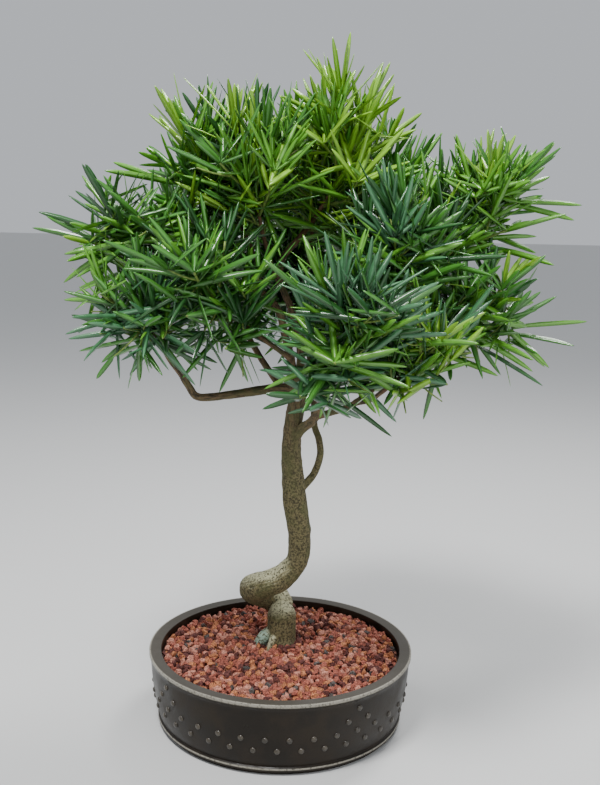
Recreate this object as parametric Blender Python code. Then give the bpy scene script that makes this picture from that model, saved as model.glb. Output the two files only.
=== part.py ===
"""A potted Buddhist pine (Podocarpus macrophyllus) trained as a bonsai.

A round drum pot with studs is filled with gravelly soil.  A trunk with a root flare
loops once round its own stub, leans up through an S curve and forks.  Tapering boughs
leave it and end where they enter the masses of foliage.  Each mass is a stem with
twigs set round it by a seeded rule, and long narrow leaves set round the twigs by the
golden angle.  The origin is the centre of the pot's flat underside, +Z is up and -Y
is the side the tree is looked at from.
"""
import math
import random

import bmesh
import bpy
import numpy
from mathutils import Vector

# Gaps and small tolerances, metres
FIT_GAP = 0.0003
SLIVER = 1.0e-7

# Pot
POT_RADIUS = 0.155
POT_HEIGHT = 0.086
RIM_INNER_RADIUS = 0.141
RIM_BEAD = 0.0022
RIM_DEPTH = 0.0055
WALL_TOP_RADIUS = 0.1528
WALL_FOOT_RADIUS = 0.1436
WALL_FOOT_HEIGHT = 0.0125
LIP_RADIUS = 0.1448
LIP_LOW = 0.0045
LIP_HIGH = 0.0082
LIP_BEVEL = 0.0015
LIP_EASE = 0.0008
LIP_INSET = 0.0010
FOOT_RADIUS = 0.1405
FLOOR_THICKNESS = 0.012
POT_SEGMENTS = 60
WALL_STEPS = 5
WALL_CURVE = 0.85

# Studs: two full rows, staggered, with four triangles of three studs above them
STUDS_A_ROW = 36
STUD_RADIUS = 0.0034
STUD_SIDES = 5
STUD_ROOT_DEPTH = 0.8

# How far out the two rings of a stud lie and how wide they are, in stud radii
STUD_RINGS = ((0.0, 1.05), (1.4, 0.62))
STUD_ROW_HEIGHTS = (0.0303, 0.0438, 0.0570, 0.0702)
STUD_PHASE = 0.0767
TRIANGLES = 4

# Soil
SOIL_TOP = 0.0795
SOIL_EDGE_DROP = 0.003
SOIL_FLAT_RADIUS = 0.055
SOIL_MIDDLE_DROP = 0.3

# Trunk: a domed stub out of the soil, then a coil round it that rises into the stem
STUB_CENTRE = (0.0005, 0.0225)
STUB_RADIUS = 0.0172
STUB_TOP = 0.129
FLARE_RADIUS = 0.0208
FLARE_HEIGHT = 0.014
FLARE_LOBES = 5
FLARE_LOBE_DEPTH = 0.08
FLARE_STEPS = 4
DOME_STEPS = 4
STUB_SINK = 0.004
COIL_CENTRE = (-0.0095, 0.026)
COIL_RADIUS = 0.0240
COIL_START_RADIUS = 0.010
COIL_START_ANGLE = 20.0
COIL_END_ANGLE = 290.0
COIL_START_HEIGHT = 0.112
COIL_END_HEIGHT = 0.167
COIL_THICK = 0.0220
COIL_THIN = 0.0150
COIL_POINTS = 8

# The coil's start is thinner, and reaches its full size in a third of its turn
COIL_START_THICKNESS = 0.55
COIL_WIDENING = 3.0

GROUND_DEPTH = 0.03
TRUNK_SIDES = 12
TRUNK_STEP = 0.013
FORK_HEIGHT = 0.400

# The stem above the coil: x, y, z and radius at each change of its lean
STEM_ROUTE = (
    (0.0120, 0.0040, 0.180, 0.0134),
    (0.0190, 0.0030, 0.196, 0.0128),
    (0.0190, 0.0010, 0.227, 0.0134),
    (0.0140, 0.0000, 0.257, 0.0140),
    (0.0105, 0.0000, 0.290, 0.0130),
    (0.0078, 0.0000, 0.325, 0.0112),
    (0.0100, 0.0000, 0.358, 0.0103),
    (0.0140, 0.0000, 0.385, 0.0104),
    (0.0155, 0.0010, FORK_HEIGHT, 0.0128),
)

# Surface roots at the foot of the stub: direction in degrees, reach, radius
ROOTS = (
    (190.0, 0.029, 0.0085),
    (236.0, 0.025, 0.0050),
    (75.0, 0.027, 0.0065),
)
ROOT_SIDES = 8

# Along a root: share of its reach, height over the soil, share of its radius
ROOT_STATIONS = ((0.25, 0.016, 0.8), (0.6, 0.009, 1.0), (0.85, 0.002, 0.9), (1.1, -0.006, 0.6))

# Boughs: parent, start and end radius, share of the length where it is split, route.
# A parent of None stands on the fork of the trunk.
BOUGH_SIDES = 6
BOUGH_STEP = 0.017
BOUGHS = {
    "bough_left_low": ("trunk", 0.0060, 0.0034, 0.62, (
        (0.013, 0.000, 0.3930), (-0.004, -0.005, 0.3955), (-0.027, -0.013, 0.3945),
        (-0.059, -0.025, 0.3910), (-0.095, -0.035, 0.3890), (-0.106, -0.039, 0.4010),
        (-0.115, -0.044, 0.4170), (-0.124, -0.050, 0.4300), (-0.130, -0.056, 0.4420))),
    "bough_rear_loop": ("trunk", 0.0046, 0.0034, 0.40, (
        (0.011, 0.002, 0.268), (0.025, 0.009, 0.280), (0.036, 0.020, 0.292),
        (0.0425, 0.028, 0.312), (0.0405, 0.034, 0.329), (0.035, 0.042, 0.345),
        (0.034, 0.060, 0.375), (0.030, 0.085, 0.410), (0.022, 0.108, 0.450))),
    "bough_front": ("trunk", 0.0060, 0.0036, None, (
        (0.009, 0.000, 0.335), (0.018, -0.008, 0.349), (0.029, -0.020, 0.360),
        (0.037, -0.037, 0.376), (0.040, -0.056, 0.392), (0.045, -0.082, 0.408))),
    "bough_right_low": ("bough_front", 0.0038, 0.0032, None, (
        (0.0335, -0.029, 0.369), (0.050, -0.038, 0.375), (0.074, -0.045, 0.386),
        (0.104, -0.046, 0.412), (0.128, -0.044, 0.440))),
    "bough_front_right": ("bough_right_low", 0.0030, 0.0026, None, (
        (0.0775, -0.045, 0.3885), (0.091, -0.062, 0.394), (0.104, -0.080, 0.408))),
    "bough_left_leader": (None, 0.0050, 0.0034, None, (
        (0.0085, -0.0030, 0.4003), (0.0050, -0.0060, 0.430), (-0.0030, -0.0060, 0.460),
        (-0.0100, -0.0030, 0.484), (-0.0290, 0.0000, 0.504), (-0.0500, 0.0000, 0.523),
        (-0.0740, -0.0020, 0.537))),
    "bough_upper_left": ("bough_left_leader", 0.0030, 0.0026, None, (
        (-0.0340, 0.0000, 0.5087), (-0.0330, 0.0080, 0.530), (-0.0440, 0.0150, 0.556))),
    "bough_left_front": ("bough_left_leader", 0.0032, 0.0026, None, (
        (0.0050, -0.0060, 0.430), (-0.0100, -0.0260, 0.443), (-0.0300, -0.0440, 0.459))),
    "bough_top_leader": (None, 0.0050, 0.0036, None, (
        (0.0160, 0.0090, 0.4003), (0.0160, 0.0130, 0.440), (0.0060, 0.0140, 0.480),
        (-0.0080, 0.0120, 0.515), (-0.0060, 0.0100, 0.541), (0.0080, 0.0100, 0.560))),
    "bough_centre": ("bough_top_leader", 0.0030, 0.0025, None, (
        (-0.0076, 0.0120, 0.5100), (-0.0170, -0.0020, 0.531), (-0.0250, -0.0110, 0.556))),
    "bough_back_upper": ("bough_top_leader", 0.0032, 0.0026, None, (
        (0.0160, 0.0130, 0.4400), (0.0200, 0.0330, 0.472), (0.0220, 0.0500, 0.512),
        (0.0260, 0.0620, 0.552))),
    "bough_right_leader": (None, 0.0050, 0.0034, None, (
        (0.0225, -0.0030, 0.4003), (0.0340, -0.0040, 0.430), (0.0560, 0.0000, 0.463),
        (0.0850, 0.0000, 0.488), (0.1120, 0.0000, 0.507))),
    "bough_right_middle": ("bough_right_leader", 0.0032, 0.0026, None, (
        (0.0500, -0.0010, 0.455), (0.0550, 0.0170, 0.482), (0.0640, 0.0300, 0.512))),
    "bough_right_front": ("bough_right_leader", 0.0032, 0.0026, None, (
        (0.0410, -0.0030, 0.4410), (0.0590, -0.0220, 0.458), (0.0810, -0.0400, 0.487))),
    "bough_back_left": ("trunk", 0.0048, 0.0034, None, (
        (0.0125, 0.0000, 0.372), (-0.0020, 0.0200, 0.388), (-0.0270, 0.0450, 0.418),
        (-0.0500, 0.0680, 0.452))),
    "bough_back_right": ("trunk", 0.0046, 0.0032, None, (
        (0.0135, 0.0000, 0.3790), (0.0350, 0.0170, 0.390), (0.0650, 0.0400, 0.418),
        (0.0900, 0.0600, 0.448))),
}

# How far along its own heading a mass's stem bends, and how many points it has
STEM_BEND = 0.45
STEM_POINTS = 7

# Masses of foliage: bough, tip of the stem, reach round the stem, side twigs, droop
MASSES = {
    "foliage_top": ("bough_top_leader", (0.078, 0.000, 0.686), 0.106, 7, 0.00),
    "foliage_centre": ("bough_centre", (-0.038, -0.034, 0.652), 0.092, 7, 0.00),
    "foliage_upper_left": ("bough_upper_left", (-0.106, 0.024, 0.648), 0.104, 8, 0.00),
    "foliage_far_left": ("bough_left_leader", (-0.208, -0.020, 0.548), 0.092, 8, 0.12),
    "foliage_left_low": ("bough_left_low", (-0.150, -0.084, 0.488), 0.088, 7, 0.12),
    "foliage_left_front": ("bough_left_front", (-0.098, -0.098, 0.530), 0.094, 8, 0.05),
    "foliage_front": ("bough_front", (0.062, -0.168, 0.498), 0.100, 8, 0.02),
    "foliage_front_right": ("bough_front_right", (0.157, -0.112, 0.464), 0.080, 6, 0.10),
    "foliage_right_front": ("bough_right_front", (0.140, -0.084, 0.568), 0.092, 7, 0.05),
    "foliage_right_low": ("bough_right_low", (0.240, -0.040, 0.494), 0.092, 8, 0.12),
    "foliage_right_upper": ("bough_right_leader", (0.244, 0.004, 0.622), 0.108, 8, 0.02),
    "foliage_right_middle": ("bough_right_middle", (0.116, 0.056, 0.630), 0.092, 7, 0.00),
    "foliage_back_left": ("bough_back_left", (-0.138, 0.140, 0.560), 0.104, 8, 0.05),
    "foliage_back": ("bough_rear_loop", (-0.006, 0.184, 0.570), 0.104, 8, 0.08),
    "foliage_back_upper": ("bough_back_upper", (0.024, 0.104, 0.664), 0.096, 7, 0.00),
    "foliage_back_right": ("bough_back_right", (0.164, 0.140, 0.536), 0.104, 8, 0.08),
}
SPACE_MARGIN = 0.0035
LIMB_MARGIN = 0.0030
BLADE_MARGIN = 0.0028
SPINE_STEP = 0.006
LIMB_SAMPLE_STEP = 0.003
BLADE_SAMPLE_STEP = 0.004
LEAF_LENGTHS = (0.062, 0.088)
LEAF_WIDTH = 0.0115
LEAF_THICKNESS = 0.0017
LEAF_WIDEST = 0.42
LEAF_ROOT_DEPTH = 0.0009
LEAVES_ON_STEM = 14
LEAVES_ON_TWIG = 7
FIRST_LEAF_ON_STEM = 0.30
FIRST_LEAF_ON_TWIG = 0.35
LAST_LEAF = 0.995
LEAF_SPREAD = (0.90, 1.08)
LEAF_SAG = 0.6
LEAF_CLEAR_ROOT = 0.3
LEAF_LOW_ANGLE = 72.0
LEAF_TIP_ANGLE = 22.0
TWIG_RADII = (0.0021, 0.0013)
TWIG_ROOT_RADIUS = 0.0010
TWIG_LENGTH = 0.066
TWIG_ANGLE = 52.0
TWIG_LIFT = 0.22
TWIG_SAG = 0.12
TWIG_TURN_SPREAD = 0.35
TWIG_ANGLE_SPREAD = 9.0
TWIG_LENGTH_SPREAD = 0.15
FIRST_TWIG = 0.12
LAST_TWIG = 0.86
LOWEST_TWIG_LENGTH = 1.15
TWIG_TAPER = 0.5
TWIG_TRIES = (1.0, 0.75, 0.5)
TWIG_SIDES = 3
SHARP_ANGLE = 50.0
BLADE_FACES = [(0, 2, 1), (0, 3, 2), (0, 1, 3), (4, 1, 2), (4, 2, 3), (4, 3, 1)]
GOLDEN_ANGLE = math.radians(137.508)
UP = Vector((0.0, 0.0, 1.0))


def clear_scene():
    """Starts from an empty scene."""
    for thing in list(bpy.data.objects):
        bpy.data.objects.remove(thing, do_unlink=True)


def finish(name, colour, roughness):
    """A plain Principled material of the part's own colour."""
    material = bpy.data.materials.new(name)
    material.use_nodes = True
    shader = material.node_tree.nodes["Principled BSDF"]
    shader.inputs["Base Color"].default_value = (*colour, 1.0)
    shader.inputs["Roughness"].default_value = roughness
    shader.inputs["Metallic"].default_value = 0.0
    material.diffuse_color = (*colour, 1.0)
    return material


def solid(name, corners, faces):
    """An object in the scene made of the given corners and faces."""
    mesh = bpy.data.meshes.new(name)
    mesh.from_pydata([tuple(corner) for corner in corners], [], faces)
    mesh.update()
    piece = bpy.data.objects.new(name, mesh)
    bpy.context.scene.collection.objects.link(piece)
    return piece


def take_result(piece):
    """Makes a piece's mesh the result of its modifiers."""
    seen = piece.evaluated_get(bpy.context.evaluated_depsgraph_get())
    mesh = bpy.data.meshes.new_from_object(seen)
    mesh.name = piece.name
    piece.modifiers.clear()
    piece.data = mesh


def unite(piece, parts):
    """Joins the parts to a piece by one union, and then removes them."""
    shelf = bpy.data.collections.new("parts")
    bpy.context.scene.collection.children.link(shelf)
    for part in parts:
        bpy.context.scene.collection.objects.unlink(part)
        shelf.objects.link(part)
    modifier = piece.modifiers.new("Unite", "BOOLEAN")
    modifier.operation = "UNION"
    modifier.operand_type = "COLLECTION"
    modifier.collection = shelf
    modifier.solver = "EXACT"
    take_result(piece)
    for part in list(shelf.objects):
        bpy.data.objects.remove(part, do_unlink=True)
    bpy.data.collections.remove(shelf)


def cut(piece, cutter, solver="EXACT"):
    """Cuts a piece by a cutter, and then removes the cutter."""
    modifier = piece.modifiers.new("Cut", "BOOLEAN")
    modifier.operation = "DIFFERENCE"
    modifier.object = cutter
    modifier.solver = solver
    take_result(piece)
    bpy.data.objects.remove(cutter, do_unlink=True)


def islands(shape):
    """The connected groups of faces in a bmesh."""
    left = set(shape.faces)
    groups = []
    while left:
        seed = left.pop()
        group = {seed}
        front = [seed]
        while front:
            face = front.pop()
            for edge in face.edges:
                for other in edge.link_faces:
                    if other in left:
                        left.discard(other)
                        group.add(other)
                        front.append(other)
        groups.append(group)
    return groups


def signed_volume(faces):
    """Volume inside a group of faces, negative where the faces point inwards."""
    total = 0.0
    for face in faces:
        first = face.verts[0].co
        for here, there in zip(face.verts[1:], face.verts[2:]):
            total += first.dot(here.co.cross(there.co)) / 6.0
    return total


def keep_main_body(piece):
    """Drops loose scraps and fills sealed hollows, so that one body is left."""
    shape = bmesh.new()
    shape.from_mesh(piece.data)
    bmesh.ops.dissolve_degenerate(shape, dist=SLIVER, edges=shape.edges[:])
    groups = islands(shape)
    main = max(groups, key=signed_volume)
    spare = [face for group in groups if group is not main for face in group]
    bmesh.ops.delete(shape, geom=spare, context="FACES")
    lonely = [corner for corner in shape.verts if not corner.link_faces]
    bmesh.ops.delete(shape, geom=lonely, context="VERTS")
    shape.to_mesh(piece.data)
    shape.free()


def complete(piece, material, parent):
    """Gives a finished sub-part its material, smooth shading and place in the tree."""
    piece.data.materials.clear()
    piece.data.materials.append(material)
    piece.data.shade_smooth()
    piece.data.set_sharp_from_angle(angle=math.radians(SHARP_ANGLE))
    piece.parent = parent


def smooth_route(points, step):
    """Points a step apart on a smooth curve through a route's points of any size."""
    route = [numpy.array(point, dtype=float) for point in points]
    ends = [2 * route[0] - route[1]] + route + [2 * route[-1] - route[-2]]
    fine = []
    for before, start, end, after in zip(ends, ends[1:], ends[2:], ends[3:]):
        count = max(2, math.ceil(numpy.linalg.norm((end - start)[:3]) / step))
        for index in range(count):
            t = index / count
            fine.append(0.5 * (2 * start + (end - before) * t
                               + (2 * before - 5 * start + 4 * end - after) * t ** 2
                               + (3 * start - before - 3 * end + after) * t ** 3))
    fine.append(route[-1])
    return fine


def lengths_along(points):
    """Distance from the first point to each point of a path."""
    walked = [0.0]
    for here, there in zip(points, points[1:]):
        walked.append(walked[-1] + (Vector(there[:3]) - Vector(here[:3])).length)
    return walked


def directions(points):
    """The direction of travel at each point of a path."""
    result = []
    for index in range(len(points)):
        before = Vector(points[max(index - 1, 0)][:3])
        after = Vector(points[min(index + 1, len(points) - 1)][:3])
        result.append((after - before).normalized())
    return result


def tube(name, points, radii, sides, first=None, last=None):
    """A closed tube with flat ends along a path, its rings carried without twist.

    first and last are the directions that its two ends are square to, where those
    differ from the path's own.
    """
    headings = directions(points)
    headings[0] = first or headings[0]
    headings[-1] = last or headings[-1]
    across = headings[0].orthogonal().normalized()
    corners = []
    for point, heading, radius in zip(points, headings, radii):
        across = (across - heading * across.dot(heading)).normalized()
        beside = heading.cross(across)
        for side in range(sides):
            turn = 2 * math.pi * side / sides
            spoke = across * math.cos(turn) + beside * math.sin(turn)
            corners.append(Vector(point[:3]) + spoke * radius)
    faces = [tuple(range(sides))[::-1]]
    for ring in range(len(points) - 1):
        for side in range(sides):
            low = ring * sides + side
            low_next = ring * sides + (side + 1) % sides
            faces.append((low, low_next, low_next + sides, low + sides))
    faces.append(tuple(range((len(points) - 1) * sides, len(points) * sides)))
    return solid(name, corners, faces)


def turned(name, profile, segments):
    """A body of revolution about Z whose profile starts and ends on the axis."""
    rims = profile[1:-1]
    corners = [Vector((0.0, 0.0, profile[0][1]))]
    for radius, height in rims:
        for segment in range(segments):
            turn = 2 * math.pi * segment / segments
            corners.append(Vector((radius * math.cos(turn), radius * math.sin(turn), height)))
    corners.append(Vector((0.0, 0.0, profile[-1][1])))
    last = len(corners) - 1
    faces = []
    for segment in range(segments):
        after = (segment + 1) % segments
        faces.append((0, 1 + after, 1 + segment))
        for ring in range(len(rims) - 1):
            low = 1 + ring * segments
            high = low + segments
            faces.append((low + segment, low + after, high + after, high + segment))
        high = 1 + (len(rims) - 1) * segments
        faces.append((high + segment, high + after, last))
    return solid(name, corners, faces)


def wall_radius(height):
    """Outer radius of the pot's wall, which draws in towards its foot."""
    top = POT_HEIGHT - RIM_DEPTH
    share = (height - WALL_FOOT_HEIGHT) / (top - WALL_FOOT_HEIGHT)
    share = min(max(share, 0.0), 1.0)
    swell = math.sin(math.pi / 2 * share) ** WALL_CURVE
    return WALL_FOOT_RADIUS + (WALL_TOP_RADIUS - WALL_FOOT_RADIUS) * swell


def pot_profile():
    """Radius and height of the pot from its flat underside round to its inner floor."""
    profile = [(0.0, 0.0), (FOOT_RADIUS, 0.0), (FOOT_RADIUS + LIP_BEVEL, LIP_LOW - LIP_EASE)]
    profile.append((LIP_RADIUS, LIP_LOW))
    profile.append((LIP_RADIUS, LIP_HIGH))
    profile.append((WALL_FOOT_RADIUS - LIP_INSET, LIP_HIGH + LIP_BEVEL))
    top = POT_HEIGHT - RIM_DEPTH
    for step in range(WALL_STEPS + 1):
        height = WALL_FOOT_HEIGHT + (top - WALL_FOOT_HEIGHT) * step / WALL_STEPS
        profile.append((wall_radius(height), height))
    profile.append((POT_RADIUS, top + RIM_BEAD / 2))
    profile.append((POT_RADIUS, POT_HEIGHT - RIM_BEAD))
    profile.append((POT_RADIUS - RIM_BEAD, POT_HEIGHT))
    profile.append((RIM_INNER_RADIUS, POT_HEIGHT))
    profile.append((RIM_INNER_RADIUS, FLOOR_THICKNESS))
    profile.append((0.0, FLOOR_THICKNESS))
    return profile


def stud_places():
    """Angle and height of every stud, measured from the front towards +X."""
    pitch = 2 * math.pi / STUDS_A_ROW
    places = []
    for index in range(STUDS_A_ROW):
        places.append((STUD_PHASE + (index - 0.5) * pitch, STUD_ROW_HEIGHTS[0]))
        places.append((STUD_PHASE + index * pitch, STUD_ROW_HEIGHTS[1]))
    for corner in range(TRIANGLES):
        peak = STUD_PHASE + 3 * pitch + corner * 2 * math.pi / TRIANGLES
        places.append((peak - pitch / 2, STUD_ROW_HEIGHTS[2]))
        places.append((peak + pitch / 2, STUD_ROW_HEIGHTS[2]))
        places.append((peak, STUD_ROW_HEIGHTS[3]))
    return places


def stud(angle, height):
    """One round-headed stud, its root inside the wall."""
    radius = wall_radius(height)
    outwards = Vector((math.sin(angle), -math.cos(angle), 0.0))
    foot = outwards * (radius - STUD_RADIUS * STUD_ROOT_DEPTH) + UP * height
    points = [foot + outwards * STUD_RADIUS * along for along, _ in STUD_RINGS]
    radii = [STUD_RADIUS * width for _, width in STUD_RINGS]
    return tube("stud", points, radii, STUD_SIDES)


def build_pot():
    """The drum pot: flat foot, thin lip, curved wall with studs, flat-topped rim."""
    pot = turned("pot", pot_profile(), POT_SEGMENTS)
    unite(pot, [stud(*place) for place in stud_places()])
    keep_main_body(pot)
    return pot


def build_soil():
    """The filling, level round the trunk and falling a little to the wall."""
    outer = RIM_INNER_RADIUS - FIT_GAP
    low = FLOOR_THICKNESS + FIT_GAP
    middle = (SOIL_FLAT_RADIUS + outer) / 2
    profile = [(0.0, low), (outer, low), (outer, SOIL_TOP - SOIL_EDGE_DROP)]
    profile += [(middle, SOIL_TOP - SOIL_EDGE_DROP * SOIL_MIDDLE_DROP), (SOIL_FLAT_RADIUS, SOIL_TOP)]
    profile.append((0.0, SOIL_TOP))
    return turned("soil", profile, POT_SEGMENTS // 2)


def stub_rings():
    """Centre height, radius and lobe depth up the domed stub."""
    base = SOIL_TOP - STUB_SINK
    rings = []
    for step in range(FLARE_STEPS):
        share = step / FLARE_STEPS
        spread = (1 - share) ** 2
        radius = STUB_RADIUS + (FLARE_RADIUS - STUB_RADIUS) * spread
        rings.append((base + FLARE_HEIGHT * share, radius, FLARE_LOBE_DEPTH * spread))
    shoulder = STUB_TOP - STUB_RADIUS
    rings.append((shoulder, STUB_RADIUS, 0.0))
    for step in range(1, DOME_STEPS):
        turn = math.pi / 2 * step / DOME_STEPS
        height = shoulder + STUB_RADIUS * math.sin(turn)
        rings.append((height, STUB_RADIUS * math.cos(turn), 0.0))
    return rings


def build_stub(extra):
    """The lobed foot and domed stub of the trunk, made larger by extra."""
    corners = []
    rings = stub_rings()
    for height, radius, depth in rings:
        for side in range(TRUNK_SIDES):
            turn = 2 * math.pi * side / TRUNK_SIDES
            lobed = radius * (1 + depth * math.cos(FLARE_LOBES * turn)) + extra
            corners.append(Vector((STUB_CENTRE[0] + lobed * math.cos(turn),
                                   STUB_CENTRE[1] + lobed * math.sin(turn), height)))
    faces = [tuple(range(TRUNK_SIDES))[::-1]]
    for ring in range(len(rings) - 1):
        for side in range(TRUNK_SIDES):
            low = ring * TRUNK_SIDES + side
            low_next = ring * TRUNK_SIDES + (side + 1) % TRUNK_SIDES
            faces.append((low, low_next, low_next + TRUNK_SIDES, low + TRUNK_SIDES))
    first = (len(rings) - 1) * TRUNK_SIDES
    corners.append(Vector((*STUB_CENTRE, STUB_TOP + extra)))
    for side in range(TRUNK_SIDES):
        faces.append((first + side, first + (side + 1) % TRUNK_SIDES, len(corners) - 1))
    return solid("trunk", corners, faces)


def trunk_route():
    """The coil round the stub and the stem above it: x, y, z and radius."""
    route = []
    for index in range(COIL_POINTS):
        share = index / (COIL_POINTS - 1)
        turn = math.radians(COIL_START_ANGLE + (COIL_END_ANGLE - COIL_START_ANGLE) * share)
        widen = min(1.0, share * COIL_WIDENING)
        radius = COIL_START_RADIUS + (COIL_RADIUS - COIL_START_RADIUS) * widen
        height = COIL_START_HEIGHT + (COIL_END_HEIGHT - COIL_START_HEIGHT) * share
        thick = COIL_THICK + (COIL_THIN - COIL_THICK) * share
        thick *= COIL_START_THICKNESS + (1 - COIL_START_THICKNESS) * widen
        route.append((COIL_CENTRE[0] + radius * math.cos(turn),
                      COIL_CENTRE[1] + radius * math.sin(turn), height, thick))
    return smooth_route(route + list(STEM_ROUTE), TRUNK_STEP)


def build_stem(extra):
    """The coil and stem as one tube, made larger by extra."""
    points = trunk_route()
    radii = [point[3] + extra for point in points]
    return tube("stem", points, radii, TRUNK_SIDES, last=UP)


def build_root(angle, reach, radius):
    """A surface root that leaves the stub and dips into the soil."""
    turn = math.radians(angle)
    outwards = Vector((math.cos(turn), math.sin(turn), 0.0))
    centre = Vector((*STUB_CENTRE, SOIL_TOP))
    points = [centre + outwards * reach * share + UP * lift for share, lift, _ in ROOT_STATIONS]
    radii = [radius * share for _, _, share in ROOT_STATIONS]
    return tube("root", points, radii, ROOT_SIDES)


def build_trunk():
    """The whole trunk, cut flat just above the soil."""
    trunk = build_stub(0.0)
    roots = [build_root(*root) for root in ROOTS]
    unite(trunk, [build_stem(0.0)] + roots)
    half = FLARE_RADIUS * 3
    level = SOIL_TOP + FIT_GAP
    block = [(x, y, z) for z in (level - GROUND_DEPTH, level) for y in (-half, half) for x in (-half, half)]
    faces = [(0, 2, 3, 1), (4, 5, 7, 6), (0, 1, 5, 4), (1, 3, 7, 5), (3, 2, 6, 7), (2, 0, 4, 6)]
    cut(trunk, solid("ground", block, faces), "MANIFOLD")
    keep_main_body(trunk)
    return trunk


def bough_path(name):
    """The fine path of a bough and its radius at each point."""
    _, start_radius, end_radius, _, route = BOUGHS[name]
    points = smooth_route(route, BOUGH_STEP)
    walked = lengths_along(points)
    radii = [start_radius + (end_radius - start_radius) * length / walked[-1]
             for length in walked]
    return points, radii


def bough_tube(name, extra):
    """A bough as one tube, made larger by extra."""
    points, radii = bough_path(name)
    first = UP if BOUGHS[name][0] is None else None
    return tube(name, points, [radius + extra for radius in radii], BOUGH_SIDES, first)


def split_bough(name, share):
    """The inner and outer halves of a bough that bends, a gap apart."""
    points, radii = bough_path(name)
    walked = lengths_along(points)
    cut = min(range(len(points)), key=lambda index: abs(walked[index] - share * walked[-1]))
    heading = directions(points)[cut]
    inner_points = points[:cut + 1]
    inner = tube(name + "_inner", inner_points, radii[:cut + 1], BOUGH_SIDES, last=heading)
    start = Vector(points[cut]) + heading * FIT_GAP
    outer_points = [tuple(start)] + points[cut + 1:]
    outer = tube(name + "_outer", outer_points, radii[cut:], BOUGH_SIDES, heading)
    return inner, outer


def build_boughs():
    """Every bough, its base cut to its parent with a gap."""
    pieces = []
    for name, (parent, _, _, share, _) in BOUGHS.items():
        if share is None:
            halves = [bough_tube(name, 0.0)]
        else:
            halves = list(split_bough(name, share))
        if parent == "trunk":
            cut(halves[0], build_stem(FIT_GAP))
        elif parent is not None:
            cut(halves[0], bough_tube(parent, FIT_GAP))
        keep_main_body(halves[0])
        pieces += halves
    return pieces


def limb_samples():
    """Points on the axes of trunk and boughs, with the radius there."""
    rows = [(*point[:3], point[3]) for point in smooth_route(trunk_route(), LIMB_SAMPLE_STEP)]
    for name in BOUGHS:
        points, radii = bough_path(name)
        joined = [(*point[:3], radius) for point, radius in zip(points, radii)]
        rows += [tuple(row) for row in smooth_route(joined, LIMB_SAMPLE_STEP)]
    return numpy.array(rows)


def stem_path(bough, tip):
    """The stem of a mass: from a gap past its bough's end, bending to its tip."""
    points, radii = bough_path(bough)
    heading = directions(points)[-1]
    start = Vector(points[-1][:3]) + heading * FIT_GAP
    end = Vector(tip)
    reach = (end - start).length
    bend = start + heading * reach * STEM_BEND
    path = []
    for index in range(STEM_POINTS):
        t = index / (STEM_POINTS - 1)
        path.append(start * (1 - t) ** 2 + bend * 2 * t * (1 - t) + end * t ** 2)
    return path, heading, radii[-1]


def blade(root, heading, side, length):
    """Corners of one leaf: its root, its two edges and rib at the widest, its tip."""
    middle = root + heading * (length * LEAF_WIDEST)
    face = heading.cross(side).normalized()
    return [root - heading * LEAF_ROOT_DEPTH,
            middle + side * (LEAF_WIDTH / 2),
            middle + face * LEAF_THICKNESS,
            middle - side * (LEAF_WIDTH / 2),
            root + heading * length]


def blade_samples(corners):
    """Points over a leaf, close enough to stand for its whole surface."""
    root, left, _, right, tip = corners
    rows = []
    for start, end in ((root, left), (left, tip), (root, right), (right, tip), (root, tip)):
        count = math.ceil((end - start).length / BLADE_SAMPLE_STEP)
        rows += [start.lerp(end, index / count) for index in range(count + 1)]
    return numpy.array([tuple(row) for row in rows])


def gaps_to(points, others):
    """Least distance from any of the points to any of the other points."""
    if len(others) == 0:
        return numpy.inf
    apart = points[:, None, :] - others[None, :, :3]
    distance = numpy.sqrt((apart ** 2).sum(axis=2))
    if others.shape[1] > 3:
        distance = distance - others[None, :, 3]
    return distance.min()


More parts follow.
